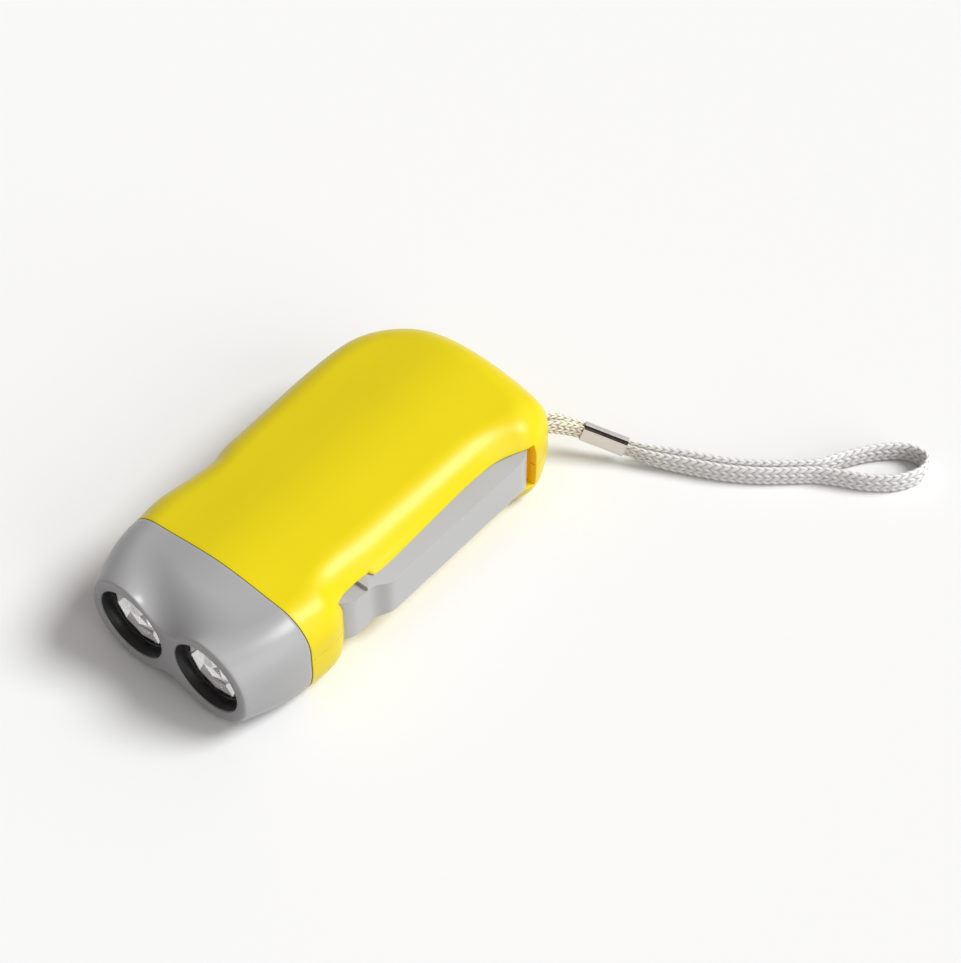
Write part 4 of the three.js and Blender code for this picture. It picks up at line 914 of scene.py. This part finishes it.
# ---------------------------------------------------------------- lever
def lever_outline():
    points = []
    root = math.acos((20.6 - PIVOT[0]) / HUB_RADIUS)
    for k in range(57):
        turn = root + (2 * math.pi - root) * k / 56
        points.append((PIVOT[0] + HUB_RADIUS * math.cos(turn), PIVOT[1] + HUB_RADIUS * math.sin(turn)))
    neck, shoulder = 36.1, 42.6
    rise = shoulder - neck
    a, b = np.array([24.5, neck]), np.array([24.5, neck + 0.5 * rise])
    c, d = np.array([26.9, shoulder - 0.45 * rise]), np.array([26.9, shoulder])
    for k in range(17):
        t = k / 16
        points.append(tuple(a * (1 - t) ** 3 + 3 * b * t * (1 - t) ** 2 + 3 * c * t * t * (1 - t)
                            + d * t ** 3))
    end = 88.2
    a, b, c = np.array([26.9, end - 3.6]), np.array([26.9, end - 1.44]), np.array([26.0, end])
    for k in range(9):
        t = k / 8
        points.append(tuple(a * (1 - t) ** 2 + 2 * b * t * (1 - t) + c * t * t))
    points.append((20.6, end))
    return points


def grip_wedge(side):
    """What is cut away above or below the grip, so that its face slopes outwards."""
    edge = MID + side * LEVER_HALF
    inner_x, outer_x = 21.2, 27.9
    rings = []
    for inner_y, outer_y, depth in ((39.67, 33.57, 1.3), (83.0, 83.0, 1.3), (89.2, 89.2, 0.13)):
        drop = depth * (outer_x - inner_x) / 5.7
        ring = [(inner_x, inner_y, edge), (outer_x, outer_y, edge - side * drop),
                (outer_x, outer_y, edge + side), (inner_x, inner_y, edge + side)]
        rings.append(ring if side > 0 else ring[::-1])
    return loft(rings)


def make_lever():
    piece = to_object("press_lever", *prism(lever_outline(), MID - LEVER_HALF, MID + LEVER_HALF), "lever")
    recess = box(20.4, 27.5, 31.1, 36.3, MID + 5.2, MID + 7.3)
    cut(piece, [grip_wedge(1), grip_wedge(-1), recess])
    bevel(piece, 0.24, 3, 30, smooth=13, miter="MITER_SHARP")
    return piece


def rack_arm():
    """The toothed arm inside the case, one plate with the lever's hub."""
    module, teeth = 1.0, 44
    radius, root = 22.0, 20.8
    pitch = 2 * math.pi / teeth
    start = math.radians(118)
    first, to = start - 2 * pitch, start + 6 * pitch
    begin = math.acos((20.9 - PIVOT[0]) / root)

    def around(r, turn):
        return PIVOT[0] + r * math.cos(turn), PIVOT[1] + r * math.sin(turn)

    points = [around(3.3, begin)]
    for k in range(9):
        points.append(around(root, begin + (first - begin) * k / 8))
    for k in range(-1, 6):
        turn = start + k * pitch
        low, high = radius - 1.2 * module, radius + 0.9 * module
        for r, half in ((low, -0.9), (radius, -0.62), (high, -0.3), (high, 0.3), (radius, 0.62), (low, 0.9)):
            points.append(around(r, turn + half * module / r))
    points += [around(root, to), around(5.3, to)]
    return prism(points, 8.4, 11.4)


lever = make_lever()
rib(lever, rack_arm())
lever.data.materials.append(LEVER)
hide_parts("lever")


# ---------------------------------------------------------------- switch knob
def make_knob():
    piece = to_object("thumb_switch", *box(-26.7, -22.7, 34.8, 41.2, MID - 2, MID + 2), "switch")
    cut(piece, [box(-27.7, -26.3, 38 + k * 1.6 - 0.35, 38 + k * 1.6 + 0.35, 0, 27) for k in (-1, 0, 1)])
    bevel(piece, 0.18, 2, 35)
    rib(piece, box(-23.5, -22.7, 31.2, 44.8, MID - 2.7, MID + 2.7))
    return piece


knob = make_knob()
knob.data.materials.append(BLACK)
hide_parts("switch_knob")

# ---------------------------------------------------------------- solids that stay as they are
INNER = {
    "drive_gear": WHITE, "step_gear": WHITE, "rotor_hub": WHITE, "gear_plate": WHITE, "bobbin": WHITE,
    "rotor_magnet": DARK_STEEL, "coil": COPPER, "lamp_board": BOARD, "wire_red": RED_WIRE,
    "wire_coil": RED_WIRE, "wire_black": BLACK_WIRE,
}
DRESSED = {"strap", "strap_clip", "upper_shell", "lower_shell", "head_bezel", "lever", "switch_knob",
           "lamp_sleeve_left", "lamp_sleeve_right", "lens_left", "lens_right", "reflector_left",
           "reflector_right", "led_left", "led_right"}
for name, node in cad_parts.items():
    if name in DRESSED:
        continue
    node.data.materials.clear()
    node.data.materials.append(INNER.get(name, STEEL))


# ---------------------------------------------------------------- floor and light
def add_floor():
    mesh = bpy.data.meshes.new("floor")
    reach = 3.0
    mesh.from_pydata([(-reach, -reach, 0), (reach, -reach, 0), (reach, reach, 0), (-reach, reach, 0)], [],
                     [(0, 1, 2, 3)])
    floor = bpy.data.objects.new("floor", mesh)
    scene.collection.objects.link(floor)
    made, nodes, links, shader = material("pale_floor")
    path = nodes.new("ShaderNodeLightPath")
    seen = path.outputs["Is Camera Ray"]
    for other in ("Is Glossy Ray", "Is Transmission Ray"):
        either = nodes.new("ShaderNodeMath")
        either.operation = "MAXIMUM"
        links.new(seen, either.inputs[0])
        links.new(path.outputs[other], either.inputs[1])
        seen = either.outputs[0]
    shown = ramp(nodes, [(0, (0.5, 0.49, 0.485)), (1, (0.96, 0.96, 0.96))])
    links.new(seen, shown.inputs["Fac"])
    links.new(shown.outputs["Color"], shader.inputs["Base Color"])
    shader.inputs["Roughness"].default_value = 0.9
    shader.inputs["Specular IOR Level"].default_value = 0.0
    mesh.materials.append(made)


def add_sun(name, energy, spread, direction):
    sun = bpy.data.lights.new(name, "SUN")
    sun.energy = energy
    sun.angle = math.radians(spread)
    sun.color = (0.985, 1, 1)
    lamp = bpy.data.objects.new(name, sun)
    lamp.rotation_euler = Vector(direction).to_track_quat("Z", "Y").to_euler()
    scene.collection.objects.link(lamp)


def add_light():
    world = bpy.data.worlds.new("studio")
    scene.world = world
    world.use_nodes = True
    world.node_tree.nodes["Background"].inputs["Color"].default_value = (1, 0.95, 0.935, 1)
    world.node_tree.nodes["Background"].inputs["Strength"].default_value = 0.315
    add_sun("key", 2.42, 26, (0.5, 0.42, 0.76))
    add_sun("side", 0.95, 45, (0.94, 0.02, 0.34))


add_floor()
add_light()
scene.view_settings.view_transform = "Standard"
